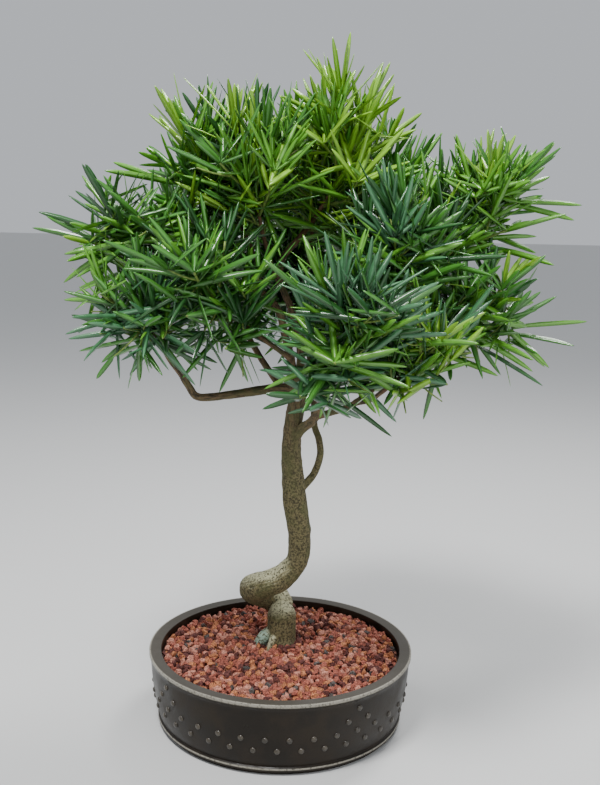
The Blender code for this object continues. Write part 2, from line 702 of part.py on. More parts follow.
class Mass:
    """One mass of foliage that keeps to its own space."""

    def __init__(self, name, spines, limbs):
        bough, tip, self.reach, self.twigs, self.droop = MASSES[name]
        self.name = name
        self.random = random.Random(name)
        self.spines = spines
        self.limbs = limbs
        self.path, self.heading, self.radius = stem_path(bough, tip)
        self.blades = []
        self.stems = []
        self.taken = numpy.zeros((0, 3))

    def inside(self, points):
        """Whether all points are nearer this mass's stem than any other's."""
        own = numpy.linalg.norm(points[:, None, :] - self.spines[self.name][None], axis=2).min(axis=1)
        if own.max() > self.reach:
            return False
        for name, spine in self.spines.items():
            if name == self.name:
                continue
            other = numpy.linalg.norm(points[:, None, :] - spine[None], axis=2).min(axis=1)
            if (other < own + SPACE_MARGIN).any():
                return False
        return True

    def add_twig(self, index):
        """One side twig, shortened until it fits its space, or left out."""
        share = FIRST_TWIG + (LAST_TWIG - FIRST_TWIG) * index / max(1, self.twigs - 1)
        place = share * (len(self.path) - 1)
        low = min(int(place), len(self.path) - 2)
        root = self.path[low].lerp(self.path[low + 1], place - low)
        along = (self.path[low + 1] - self.path[low]).normalized()
        turn = GOLDEN_ANGLE * index + self.random.uniform(-TWIG_TURN_SPREAD, TWIG_TURN_SPREAD)
        across = along.orthogonal().normalized()
        spoke = across * math.cos(turn) + along.cross(across) * math.sin(turn)
        spread = self.random.uniform(-TWIG_ANGLE_SPREAD, TWIG_ANGLE_SPREAD)
        angle = math.radians(TWIG_ANGLE + spread)
        heading = along * math.cos(angle) + spoke * math.sin(angle)
        heading = (heading + UP * (TWIG_LIFT - self.droop)).normalized()
        length = TWIG_LENGTH * (LOWEST_TWIG_LENGTH - TWIG_TAPER * share)
        length *= self.random.uniform(1 - TWIG_LENGTH_SPREAD, 1 + TWIG_LENGTH_SPREAD)
        for shorter in TWIG_TRIES:
            end = root + heading * length * shorter
            bend = root + (heading - UP * TWIG_SAG).normalized() * length * shorter * 0.5
            fine = numpy.array([tuple(root.lerp(bend, t / 6)) for t in range(2, 7)]
                               + [tuple(bend.lerp(end, t / 6)) for t in range(7)])
            clear = gaps_to(fine, self.limbs) > LIMB_MARGIN + TWIG_RADII[0]
            if clear and self.inside(fine) and gaps_to(fine[3:], self.taken) > BLADE_MARGIN * 2:
                self.stems.append([root, root.lerp(bend, 0.3), bend, end])
                self.taken = numpy.vstack([self.taken, fine])
                return

    def add_leaf(self, path, share, turn, length):
        """One leaf at a share of a twig's length, left out where it doesn't fit."""
        place = share * (len(path) - 1)
        low = min(int(place), len(path) - 2)
        root = path[low].lerp(path[low + 1], place - low)
        along = (path[low + 1] - path[low]).normalized()
        across = along.orthogonal().normalized()
        spoke = across * math.cos(turn) + along.cross(across) * math.sin(turn)
        angle = math.radians(LEAF_LOW_ANGLE + (LEAF_TIP_ANGLE - LEAF_LOW_ANGLE) * share ** 1.5)
        heading = along * math.cos(angle) + spoke * math.sin(angle)
        heading = (heading - UP * self.droop * LEAF_SAG * math.sin(angle)).normalized()
        side = along.cross(heading).normalized()
        corners = blade(root, heading, side, length)
        points = blade_samples(corners)
        if not self.inside(points):
            return
        if gaps_to(points, self.limbs) < LIMB_MARGIN:
            return
        outer = points[numpy.linalg.norm(points - numpy.array(root), axis=1) > length * LEAF_CLEAR_ROOT]
        if gaps_to(outer, self.taken) < BLADE_MARGIN:
            return
        self.blades.append(corners)
        self.taken = numpy.vstack([self.taken, outer])

    def leaf_out(self, path, count, first):
        """Leaves round one stem or twig by the golden angle, longest in the middle."""
        phase = self.random.uniform(0.0, 2 * math.pi)
        short, long = LEAF_LENGTHS
        for index in reversed(range(count)):
            share = first + (LAST_LEAF - first) * index / (count - 1)
            fullness = math.sin(math.pi * (0.25 + 0.6 * share))
            length = (short + (long - short) * fullness) * self.random.uniform(*LEAF_SPREAD)
            self.add_leaf(path, share, phase + GOLDEN_ANGLE * index, length)

    def grow(self):
        """The whole mass as one joined solid."""
        for index in range(self.twigs):
            self.add_twig(index)
        self.leaf_out(self.path, LEAVES_ON_STEM, FIRST_LEAF_ON_STEM)
        for twig in self.stems:
            self.leaf_out(twig, LEAVES_ON_TWIG, FIRST_LEAF_ON_TWIG)
        rings = len(self.path)
        radii = [self.radius + (TWIG_RADII[1] - self.radius) * ring / (rings - 1)
                 for ring in range(rings)]
        body = tube(self.name, self.path, radii, TWIG_SIDES, self.heading)
        parts = []
        for twig in self.stems:
            radii = [TWIG_ROOT_RADIUS, TWIG_RADII[0], sum(TWIG_RADII) / 2, TWIG_RADII[1]]
            parts.append(tube("twig", twig, radii, TWIG_SIDES))
        for corners in self.blades:
            parts.append(solid("leaf", corners, BLADE_FACES))
        unite(body, parts)
        keep_main_body(body)
        return body


def build_masses():
    """All masses of foliage, each inside its own space."""
    spines = {}
    for name, (bough, tip, _, _, _) in MASSES.items():
        path = stem_path(bough, tip)[0]
        spines[name] = numpy.array([tuple(point) for point in smooth_route(path, SPINE_STEP)])
    limbs = limb_samples()
    return [Mass(name, spines, limbs).grow() for name in MASSES]


def main():
    """Builds the potted tree."""
    clear_scene()
    root = bpy.data.objects.new("bonsai", None)
    bpy.context.scene.collection.objects.link(root)
    glaze = finish("pot_glaze", (0.026, 0.021, 0.015), 0.38)
    gravel = finish("lava_gravel", (0.27, 0.075, 0.052), 0.9)
    bark = finish("bark", (0.15, 0.125, 0.07), 0.85)
    leaf = finish("leaf", (0.04, 0.13, 0.035), 0.4)
    complete(build_pot(), glaze, root)
    complete(build_soil(), gravel, root)
    complete(build_trunk(), bark, root)
    for piece in build_boughs():
        complete(piece, bark, root)
    for piece in build_masses():
        complete(piece, leaf, root)


main()
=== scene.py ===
"""Looks of a potted Buddhist pine bonsai, made round the solids of its frame.

The pot is turned from a profile and studded, the soil is covered with lava gravel, the
trunk and boughs get one skin with the relief of bark, and every mass of foliage grows
twigs and leaves from the same stems, by the same seeded rule, as the solids do.
"""
import math
import random

import bpy
import numpy
from bpy.props import FloatProperty, FloatVectorProperty, IntProperty, PointerProperty
from mathutils import Matrix, Vector, noise
from mathutils.kdtree import KDTree


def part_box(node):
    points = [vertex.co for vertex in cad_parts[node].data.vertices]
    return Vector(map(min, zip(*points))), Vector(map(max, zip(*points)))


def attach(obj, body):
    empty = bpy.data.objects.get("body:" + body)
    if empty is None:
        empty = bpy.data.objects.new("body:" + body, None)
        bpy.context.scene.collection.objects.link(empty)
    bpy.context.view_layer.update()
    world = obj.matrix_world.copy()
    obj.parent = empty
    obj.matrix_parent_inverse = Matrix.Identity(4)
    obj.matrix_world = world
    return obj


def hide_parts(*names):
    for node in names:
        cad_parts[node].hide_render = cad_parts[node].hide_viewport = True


bl_info = {
    "name": "Potted Buddhist Pine",
    "version": (1, 0, 0),
    "blender": (4, 5, 0),
    "location": "3D View > Sidebar > Bonsai",
    "description": "Builds the pot, gravel, bark and foliage of a bonsai round its frame",
    "category": "Object",
}

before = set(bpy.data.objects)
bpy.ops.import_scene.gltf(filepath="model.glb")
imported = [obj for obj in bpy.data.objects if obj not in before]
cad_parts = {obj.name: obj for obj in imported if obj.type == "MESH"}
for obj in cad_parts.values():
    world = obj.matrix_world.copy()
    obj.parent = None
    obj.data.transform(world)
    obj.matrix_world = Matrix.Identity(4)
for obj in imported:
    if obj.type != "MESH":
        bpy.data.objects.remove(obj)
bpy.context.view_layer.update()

BODY = "root"
UP = Vector((0.0, 0.0, 1.0))
GOLDEN_ANGLE = math.radians(137.508)
FIT_GAP = 0.0003

# Sizes read from the frame
POT_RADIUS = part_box("pot")[1].x
POT_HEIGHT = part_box("pot")[1].z
SOIL_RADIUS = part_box("soil")[1].x
SOIL_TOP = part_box("soil")[1].z

# Pot wall, as the solid pot has it
RIM_INNER_RADIUS = SOIL_RADIUS + FIT_GAP
RIM_BEAD = 0.0022
RIM_DEPTH = 0.0055
WALL_TOP_RADIUS = POT_RADIUS - RIM_BEAD
WALL_FOOT_RADIUS = 0.1436
WALL_FOOT_HEIGHT = 0.0125
LIP_RADIUS = 0.1448
LIP_LOW = 0.0045
LIP_HIGH = 0.0082
LIP_BEVEL = 0.0015
LIP_EASE = 0.0008
LIP_INSET = 0.001
FOOT_RADIUS = 0.1405
FLOOR_THICKNESS = 0.012
WALL_CURVE = 0.85
STUD_ROW_HEIGHTS = (0.0303, 0.0438, 0.0570, 0.0702)
STUD_PHASE = 0.0767
TRIANGLES = 4

# Fineness of the pot that only the looks have
POT_SEGMENTS = 160
WALL_STEPS = 24
CORNER_STEPS = 4
LONGEST_CORNER = 0.45
LIP_ROUNDING = 0.0006
RIM_ROUNDING = 0.0009
RIM_SLOPE = (0.0001, 0.0006)
SHARP_ANGLE = math.radians(40.0)
STUD_SEGMENTS = 14
STUD_RINGS = 8
STUD_FLATNESS = 0.62

# Grey rim top, pale rim bead (wear with painted highlight) and pale foot lip (painted highlight): how
# far below or inside an edge each starts and is full
RIM_GREY_TOP = (0.0016, 0.0004)
RIM_WEAR_AND_HIGHLIGHT = (0.0040, 0.0024)
RIM_EDGE_WEAR_AND_HIGHLIGHT = (0.0024, 0.0010)
LIP_HIGHLIGHT_ABOVE = (0.0006, 0.0002)
LIP_HIGHLIGHT_BELOW = (0.0022, 0.0012)
LIP_EDGE_HIGHLIGHT = 0.0008

# Soil under the gravel, and the wavy surface that the stones are scattered on
BED_TOP = SOIL_TOP - 0.006
BED_SEGMENTS = 96
BED_ROUNDING = 0.001
BED_COLOUR = (0.10, 0.035, 0.026)
SURFACE_RINGS = 24
SURFACE_SEGMENTS = 64
SURFACE_INSET = 0.0045
SURFACE_FALL = 0.003
LEVEL_SHARE = 0.35
WAVE_SCALE = 28.0
WAVE_HEIGHT = 0.0022
LAYER_DEPTHS = (0.0036, 0.0005)

# Trunk, as the solid trunk has it
STUB_CENTRE = (0.0005, 0.0225)
STUB_RADIUS = 0.0172
STUB_TOP = 0.129
FLARE_RADIUS = 0.0208
FLARE_HEIGHT = 0.014
FLARE_LOBES = 5
FLARE_LOBE_DEPTH = 0.08
COIL_CENTRE = (-0.0095, 0.026)
COIL_RADIUS = 0.0240
COIL_START_RADIUS = 0.010
COIL_START_ANGLE = 20.0
COIL_END_ANGLE = 290.0
COIL_START_HEIGHT = 0.112
COIL_END_HEIGHT = 0.167
COIL_THICK = 0.0220
COIL_THIN = 0.0150
COIL_POINTS = 8
COIL_WIDENING = 3.0
COIL_THICKENING = (0.55, 0.45)
FORK_HEIGHT = 0.400

# Stem above the coil: x, y, z and radius
STEM_ROUTE = (
    (0.0120, 0.0040, 0.180, 0.0134),
    (0.0190, 0.0030, 0.196, 0.0128),
    (0.0190, 0.0010, 0.227, 0.0134),
    (0.0140, 0.0000, 0.257, 0.0140),
    (0.0105, 0.0000, 0.290, 0.0130),
    (0.0078, 0.0000, 0.325, 0.0112),
    (0.0100, 0.0000, 0.358, 0.0103),
    (0.0140, 0.0000, 0.385, 0.0104),
    (0.0155, 0.0010, FORK_HEIGHT, 0.0128),
)

# Surface roots: angle in degrees, reach and radius
ROOTS = (
    (190.0, 0.029, 0.0085),
    (236.0, 0.025, 0.0050),
    (75.0, 0.027, 0.0065),
)

# Along a root: share of its reach, height over the soil, share of its radius
ROOT_STATIONS = ((0.25, 0.016, 0.8), (0.6, 0.009, 1.0), (0.85, 0.002, 0.9), (1.1, -0.006, 0.6))

# Fineness of the limbs that only the looks have
LIMB_STEP = 0.004
STUB_STEPS = 12
STUB_SIDES = 40
STUB_GUIDES = 14
TRUNK_SIDES = 32
ROOT_SIDES = 20
BOUGH_SIDES = 16
CROWN_STATIONS = ((0.004, 0.96), (0.009, 0.8), (0.013, 0.5))
COLLAR_SWELL = 0.45
COLLAR_REACH = 2.2
LEADER_DEPTH = 0.012

# Relief of the bark: scales of its noises, their shares, and the least radius with all of it
SKIN_SOFTENING = 0.5
SKIN_ROUNDS = 6
GROOVES_ACROSS = 520
GROOVES_ALONG = 95
KNOB_SCALE = 110.0
GRIT_SCALE = 900.0
RELIEF_SHARES = (0.55, 0.75, 0.25)
FULL_RELIEF_RADIUS = 0.009
BOUGH_RELIEF = 0.8

# Colours of the bark: where they change up the trunk, how high the pale lichen with painted highlight
# on upward faces reaches, and the root with turquoise lichen
WARM_HEIGHTS = (0.28, 0.42)
LICHEN_AND_HIGHLIGHT_HEIGHTS = (0.30, 0.17)
LICHEN_LUMP = (-0.026, 0.018, 0.086)
LICHEN_REACH = (0.018, 0.010)

# Boughs: parent, start and end radius, whether the solid is split, route
BOUGH_STEP = 0.017
BOUGHS = {
    "bough_left_low": ("trunk", 0.0060, 0.0034, True, (
        (0.013, 0.000, 0.3930), (-0.004, -0.005, 0.3955), (-0.027, -0.013, 0.3945),
        (-0.059, -0.025, 0.3910), (-0.095, -0.035, 0.3890), (-0.106, -0.039, 0.4010),
        (-0.115, -0.044, 0.4170), (-0.124, -0.050, 0.4300), (-0.130, -0.056, 0.4420))),
    "bough_rear_loop": ("trunk", 0.0046, 0.0034, True, (
        (0.011, 0.002, 0.268), (0.025, 0.009, 0.280), (0.036, 0.020, 0.292),
        (0.0425, 0.028, 0.312), (0.0405, 0.034, 0.329), (0.035, 0.042, 0.345),
        (0.034, 0.060, 0.375), (0.030, 0.085, 0.410), (0.022, 0.108, 0.450))),
    "bough_front": ("trunk", 0.0060, 0.0036, False, (
        (0.009, 0.000, 0.335), (0.018, -0.008, 0.349), (0.029, -0.020, 0.360),
        (0.037, -0.037, 0.376), (0.040, -0.056, 0.392), (0.045, -0.082, 0.408))),
    "bough_right_low": ("bough_front", 0.0038, 0.0032, False, (
        (0.0335, -0.029, 0.369), (0.050, -0.038, 0.375), (0.074, -0.045, 0.386),
        (0.104, -0.046, 0.412), (0.128, -0.044, 0.440))),
    "bough_front_right": ("bough_right_low", 0.0030, 0.0026, False, (
        (0.0775, -0.045, 0.3885), (0.091, -0.062, 0.394), (0.104, -0.080, 0.408))),
    "bough_left_leader": (None, 0.0050, 0.0034, False, (
        (0.0085, -0.0030, 0.4003), (0.0050, -0.0060, 0.430), (-0.0030, -0.0060, 0.460),
        (-0.0100, -0.0030, 0.484), (-0.0290, 0.0000, 0.504), (-0.0500, 0.0000, 0.523),
        (-0.0740, -0.0020, 0.537))),
    "bough_upper_left": ("bough_left_leader", 0.0030, 0.0026, False, (
        (-0.0340, 0.0000, 0.5087), (-0.0330, 0.0080, 0.530), (-0.0440, 0.0150, 0.556))),
    "bough_left_front": ("bough_left_leader", 0.0032, 0.0026, False, (
        (0.0050, -0.0060, 0.430), (-0.0100, -0.0260, 0.443), (-0.0300, -0.0440, 0.459))),
    "bough_top_leader": (None, 0.0050, 0.0036, False, (
        (0.0160, 0.0090, 0.4003), (0.0160, 0.0130, 0.440), (0.0060, 0.0140, 0.480),
        (-0.0080, 0.0120, 0.515), (-0.0060, 0.0100, 0.541), (0.0080, 0.0100, 0.560))),
    "bough_centre": ("bough_top_leader", 0.0030, 0.0025, False, (
        (-0.0076, 0.0120, 0.5100), (-0.0170, -0.0020, 0.531), (-0.0250, -0.0110, 0.556))),
    "bough_back_upper": ("bough_top_leader", 0.0032, 0.0026, False, (
        (0.0160, 0.0130, 0.4400), (0.0200, 0.0330, 0.472), (0.0220, 0.0500, 0.512),
        (0.0260, 0.0620, 0.552))),
    "bough_right_leader": (None, 0.0050, 0.0034, False, (
        (0.0225, -0.0030, 0.4003), (0.0340, -0.0040, 0.430), (0.0560, 0.0000, 0.463),
        (0.0850, 0.0000, 0.488), (0.1120, 0.0000, 0.507))),
    "bough_right_middle": ("bough_right_leader", 0.0032, 0.0026, False, (
        (0.0500, -0.0010, 0.455), (0.0550, 0.0170, 0.482), (0.0640, 0.0300, 0.512))),
    "bough_right_front": ("bough_right_leader", 0.0032, 0.0026, False, (
        (0.0410, -0.0030, 0.4410), (0.0590, -0.0220, 0.458), (0.0810, -0.0400, 0.487))),
    "bough_back_left": ("trunk", 0.0048, 0.0034, False, (
        (0.0125, 0.0000, 0.372), (-0.0020, 0.0200, 0.388), (-0.0270, 0.0450, 0.418),
        (-0.0500, 0.0680, 0.452))),
    "bough_back_right": ("trunk", 0.0046, 0.0032, False, (
        (0.0135, 0.0000, 0.3790), (0.0350, 0.0170, 0.390), (0.0650, 0.0400, 0.418),
        (0.0900, 0.0600, 0.448))),
}

# Masses: bough, tip of the stem, reach, side twigs, droop and mood; the dark mood gives masses that
# lie in shade darker tones as painted shade
MASSES = {
    "foliage_top": ("bough_top_leader", (0.078, 0.000, 0.686), 0.106, 7, 0.00, "lime"),
    "foliage_centre": ("bough_centre", (-0.038, -0.034, 0.652), 0.092, 7, 0.00, "bright"),
    "foliage_upper_left": ("bough_upper_left", (-0.106, 0.024, 0.648), 0.104, 8, 0.00, "bright"),
    "foliage_far_left": ("bough_left_leader", (-0.208, -0.020, 0.548), 0.092, 8, 0.12, "bright"),
    "foliage_left_low": ("bough_left_low", (-0.150, -0.084, 0.488), 0.088, 7, 0.12, "cool"),
    "foliage_left_front": ("bough_left_front", (-0.098, -0.098, 0.530), 0.094, 8, 0.05, "dark"),
    "foliage_front": ("bough_front", (0.062, -0.168, 0.498), 0.100, 8, 0.02, "cool"),
    "foliage_front_right": ("bough_front_right", (0.157, -0.112, 0.464), 0.080, 6, 0.10, "mixed"),
    "foliage_right_front": ("bough_right_front", (0.140, -0.084, 0.568), 0.092, 7, 0.05, "mixed"),
    "foliage_right_low": ("bough_right_low", (0.240, -0.040, 0.494), 0.092, 8, 0.12, "mixed"),
    "foliage_right_upper": ("bough_right_leader", (0.244, 0.004, 0.622), 0.108, 8, 0.02, "bright"),
    "foliage_right_middle": ("bough_right_middle", (0.116, 0.056, 0.630), 0.092, 7, 0.00, "mixed"),
    "foliage_back_left": ("bough_back_left", (-0.138, 0.140, 0.560), 0.104, 8, 0.05, "dark"),
    "foliage_back": ("bough_rear_loop", (-0.006, 0.184, 0.570), 0.104, 8, 0.08, "dark"),
    "foliage_back_upper": ("bough_back_upper", (0.024, 0.104, 0.664), 0.096, 7, 0.00, "bright"),
    "foliage_back_right": ("bough_back_right", (0.164, 0.140, 0.536), 0.104, 8, 0.08, "dark"),
}

# Colours of the leaves
TONES = {
    "lime": (0.240, 0.500, 0.030),
    "fresh": (0.115, 0.345, 0.026),
    "mid": (0.052, 0.205, 0.022),
    "deep": (0.022, 0.105, 0.020),
    "cool": (0.062, 0.190, 0.080),
}

# How likely each tone is in each mood; the dark mood leans to the darker tones as painted shade
TONE_ODDS = {
    "lime": (6, 3, 1, 0, 0),
    "bright": (2, 5, 3, 1, 0),
    "mixed": (1, 4, 4, 2, 1),
    "cool": (0, 2, 3, 2, 5),
    "dark": (0, 2, 5, 4, 1),
}

# Underside of the crown: where it is lowest, and how it rises to the left and the right
SKIRT_X = 0.12
SKIRT_HEIGHT = 0.368
SKIRT_RISES = (0.14, 0.45)

# Stems and side twigs, as the solid masses have them
STEM_BEND = 0.45
STEM_POINTS = 7
SPINE_STEP = 0.006
LIMB_SAMPLE_STEP = 0.003
TRUNK_STEP = 0.013
LIMB_MARGIN = 0.0030
BLADE_MARGIN = 0.0028
SPACE_MARGIN = 0.0035
TWIG_RADII = (0.0021, 0.0013)
TWIG_LENGTH = 0.066
TWIG_ANGLE = 52.0
TWIG_LIFT = 0.22
TWIG_SAG = 0.12
TWIG_TURN_SPREAD = 0.35
TWIG_ANGLE_SPREAD = 9.0
TWIG_LENGTHS = (0.85, 1.15)
FIRST_TWIG = 0.12
TWIG_SPAN = 0.74
LOWEST_TWIG_LENGTH = 1.15
TWIG_TAPER = 0.5
TWIG_TRIES = (1.0, 0.75, 0.5)

# Finer twigs that only the looks have
FINER_TWIGS = 3
FINER_PLACES = (0.25, 0.8)
FINER_ANGLES = (38.0, 60.0)
FINER_LENGTHS = (0.024, 0.042)
FINER_LIFT = 0.7
FINER_SAG = 0.10
TURNS = (0.0, 6.28)

# Leaves: angles in degrees, lengths and widths as shares of the longest and the widest
LEAF_LOW_ANGLE = 76.0
LEAF_TIP_ANGLE = 18.0
LEAF_CLOSING = 1.7
LEAF_ANGLE_SPREAD = 8.0
LEAF_DROOP = 0.6
LEAF_SAGS = (0.02, 0.16)
LEAF_WIDTHS = (0.82, 1.08)
LEAF_LENGTHS = (0.8, 1.0)
LEAF_FULLNESS = (0.72, 0.28)
LEAF_SWELL = (0.15, 0.7)
LEAF_TESTS = (0.15, 0.4, 0.7, 1.0)
LEAF_OVERLAP = 0.026
LEAF_OVERREACH = 0.002
LEAF_CLEARANCE = 0.001
LEAST_LEAVES = 8
FIRST_LEAF_ON_STEM = 0.28
FIRST_LEAF_ON_TWIG = 0.22
LAST_LEAF = 0.995
TUFT_LEAVES = 5
TUFT_PLACE = 0.999
TUFT_LENGTHS = (0.35, 0.7)

# Tubes of the stems and twigs
TWIG_SIDES = 6
STEM_STEP = 0.010
TWIG_STEP = 0.012
STEM_SINK = 0.004
WOODY_SHARE = (3, 5)
TWIG_THINNING = 0.45
WOODY_COLOUR = (0.16, 0.085, 0.04)
GREEN_COLOUR = (0.22, 0.33, 0.06)

# Floor, sky and lights: a light's place, the height that it looks at, its size and power
FLOOR_HALF = 30.0
FRAME_HEIGHT_MM = 36.0
SKY_COLOUR = (0.9, 0.94, 1.0, 1.0)
SKY_STRENGTH = 0.6
LIGHTS = {
    "key": ((-0.45, -0.75, 2.2), 0.5, 0.5, 55.0),
    "rim": ((0.7, 0.9, 2.0), 0.55, 0.6, 30.0),
    "fill": ((1.3, -1.6, 0.9), 0.4, 1.4, 10.0),
}


class StageSettings(bpy.types.PropertyGroup):
    """Sizes of the camera's set-up."""

    distance: FloatProperty(name="Distance", description="From the pot's axis to the camera",
                            default=1.1245, unit="LENGTH")
    height: FloatProperty(name="Height", description="Of the camera over the floor",
                          default=0.5847, unit="LENGTH")
    pitch: FloatProperty(name="Pitch", description="How far the camera looks down",
                         default=0.1711, unit="ROTATION")
    yaw: FloatProperty(name="Yaw", description="Turn of the camera to the right",
                       default=0.0146, unit="ROTATION")
    roll: FloatProperty(name="Roll", description="Tilt of the camera about its own axis",
                        default=0.0223, unit="ROTATION")
    lens: FloatProperty(name="Lens", description="Focal length on a 36 mm frame height",
                        default=45.86, unit="CAMERA")
    floor_colour: FloatVectorProperty(name="Floor", description="Colour of floor and backdrop",
                                      default=(0.62, 0.62, 0.61), subtype="COLOR")


class PotSettings(bpy.types.PropertyGroup):
    """Sizes and colours of the pot."""

    studs_a_row: IntProperty(name="Studs a row", description="In each of the two full rows",
                             default=36)
    stud_radius: FloatProperty(name="Stud radius", description="Of a stud's round head",
                               default=0.0034, unit="LENGTH")
    glaze: FloatVectorProperty(name="Glaze", description="Dark brown of the wall",
                               default=(0.0100, 0.0066, 0.0034), subtype="COLOR")
    # The studs' paler brown is painted highlight.
    stud_colour: FloatVectorProperty(name="Stud colour", description="Paler brown of the studs",
                                     default=(0.060, 0.048, 0.032), subtype="COLOR")
    # Pale grey of the worn rim bead with painted highlight, and of the painted highlight on the
    # foot's lip.
    worn_and_highlit: FloatVectorProperty(name="Worn", description="Pale grey of worn edges",
                              default=(0.300, 0.280, 0.230), subtype="COLOR")


class GravelSettings(bpy.types.PropertyGroup):
    """Sizes of the lava gravel."""

    spacing: FloatProperty(name="Spacing", description="Least distance between stones",
                           default=0.0060, unit="LENGTH")
    stone: FloatProperty(name="Stone", description="Mean radius of a stone",
                         default=0.0042, unit="LENGTH")
    seed: IntProperty(name="Seed", description="Of the gravel's scatter", default=4)


class BarkSettings(bpy.types.PropertyGroup):
    """Relief and colours of the bark."""

    relief: FloatProperty(name="Relief", description="Depth of the bark's fissures",
                          default=0.0009, unit="LENGTH")
    trunk_grain: FloatProperty(name="Trunk grain", description="Size of the trunk skin's cells",
                               default=0.0009, unit="LENGTH")
    bough_grain: FloatProperty(name="Bough grain", description="Size of the bough skin's cells",
                               default=0.0011, unit="LENGTH")
    pale: FloatVectorProperty(name="Pale", description="Olive grey of the bark's plates",
                              default=(0.180, 0.152, 0.068), subtype="COLOR")
    dark: FloatVectorProperty(name="Dark", description="Brown of the bark's fissures",
                              default=(0.045, 0.032, 0.018), subtype="COLOR")


class FoliageSettings(bpy.types.PropertyGroup):
    """Sizes of the leaves and twigs."""

    leaf_length: FloatProperty(name="Leaf length", description="Of the longest leaves",
                               default=0.088, unit="LENGTH")
    leaf_width: FloatProperty(name="Leaf width", description="Of a leaf at its widest",
                              default=0.0064, unit="LENGTH")
    leaf_spacing: FloatProperty(name="Leaf spacing", description="Along a twig",
                                default=0.0025, unit="LENGTH")
    seed: IntProperty(name="Seed", description="Of the finer growth", default=11)


def link(name, data):
    """A new object in the scene."""
    made = bpy.data.objects.new(name, data)
    bpy.context.scene.collection.objects.link(made)
    return made


class Shape:
    """Corners and faces gathered from many forms for one mesh."""

    def __init__(self):
        self.corners = []
        self.faces = []

    def add(self, corners, faces):
        """Adds one form."""
        first = len(self.corners)
        self.corners += [tuple(corner) for corner in corners]
        self.faces += [tuple(first + index for index in face) for face in faces]

    def piece(self, name, smooth=True):
        """An object in the scene with all the forms."""
        mesh = bpy.data.meshes.new(name)
        mesh.from_pydata(self.corners, [], self.faces)
        mesh.update()
        if smooth:
            mesh.shade_smooth()
        return link(name, mesh)


class NodeTree:
    """A short way to add nodes to a tree."""

    def add(self, kind, inputs, **settings):
        """A node with its settings and its inputs, linked or set."""
        node = self.tree.nodes.new(kind)
        for setting, value in settings.items():
            setattr(node, setting, value)
        for key, value in inputs.items():
            if isinstance(value, bpy.types.NodeSocket):
                self.tree.links.new(value, node.inputs[key])
            else:
                node.inputs[key].default_value = value
        return node


class Finish(NodeTree):
    """A Principled material and short ways to add nodes to it."""

    def __init__(self, name, roughness, **sockets):
        self.material = bpy.data.materials.new(name)
        self.material.use_nodes = True
        self.tree = self.material.node_tree
        self.shader = self.tree.nodes["Principled BSDF"]
        self.shader.inputs["Roughness"].default_value = roughness
        for socket, value in sockets.items():
            self.shader.inputs[socket.replace("_", " ")].default_value = value

    def place(self, stretch=(1.0, 1.0, 1.0), attribute=None):
        """Object coordinates or an attribute's, stretched."""
        if attribute:
            source = self.add("ShaderNodeAttribute", {}, attribute_name=attribute)
            vector = source.outputs["Vector"]
        else:
            vector = self.add("ShaderNodeTexCoord", {}).outputs["Object"]
        node = self.add("ShaderNodeMapping", {"Vector": vector, "Scale": stretch})
        return node.outputs["Vector"]

    def noise(self, place, scale, detail=3.0, roughness=0.55):
        """Cloudy values from 0 to 1."""
        node = self.add("ShaderNodeTexNoise", {"Vector": place, "Scale": scale,
                                               "Detail": detail, "Roughness": roughness})
        return node.outputs["Fac"]

    def cells(self, place, scale):
        """Distance to the nearest of many scattered points."""
        node = self.add("ShaderNodeTexVoronoi", {"Vector": place, "Scale": scale})
        return node.outputs["Distance"]

    def step(self, value, low, high):
        """0 below low, 1 above high and smooth between."""
        node = self.add("ShaderNodeMapRange", {"Value": value, "From Min": low, "From Max": high},
                        interpolation_type="SMOOTHSTEP")
        return node.outputs["Result"]

    def calculate(self, operation, *values):
        """The result of a sum on one or two values."""
        inputs = dict(enumerate(values))
        return self.add("ShaderNodeMath", inputs, operation=operation).outputs[0]

    def mix(self, factor, first, second):
        """The second colour over the first by a factor."""
        colours = [value if isinstance(value, bpy.types.NodeSocket) else (*value, 1.0)
                   for value in (first, second)]
        inputs = {0: factor, 6: colours[0], 7: colours[1]}
        return self.add("ShaderNodeMix", inputs, data_type="RGBA").outputs[2]

    def colour(self, value):
        """Sets or links the base colour."""
        if isinstance(value, bpy.types.NodeSocket):
            self.tree.links.new(value, self.shader.inputs["Base Color"])
        else:
            self.shader.inputs["Base Color"].default_value = (*value, 1.0)

    def roughness(self, value):
        """Links the roughness."""
        self.tree.links.new(value, self.shader.inputs["Roughness"])

    def bump(self, height, depth, strength=1.0):
        """Adds fine relief of a depth in metres."""
        node = self.add("ShaderNodeBump", {"Height": height, "Distance": depth,
                                           "Strength": strength})
        self.tree.links.new(node.outputs["Normal"], self.shader.inputs["Normal"])


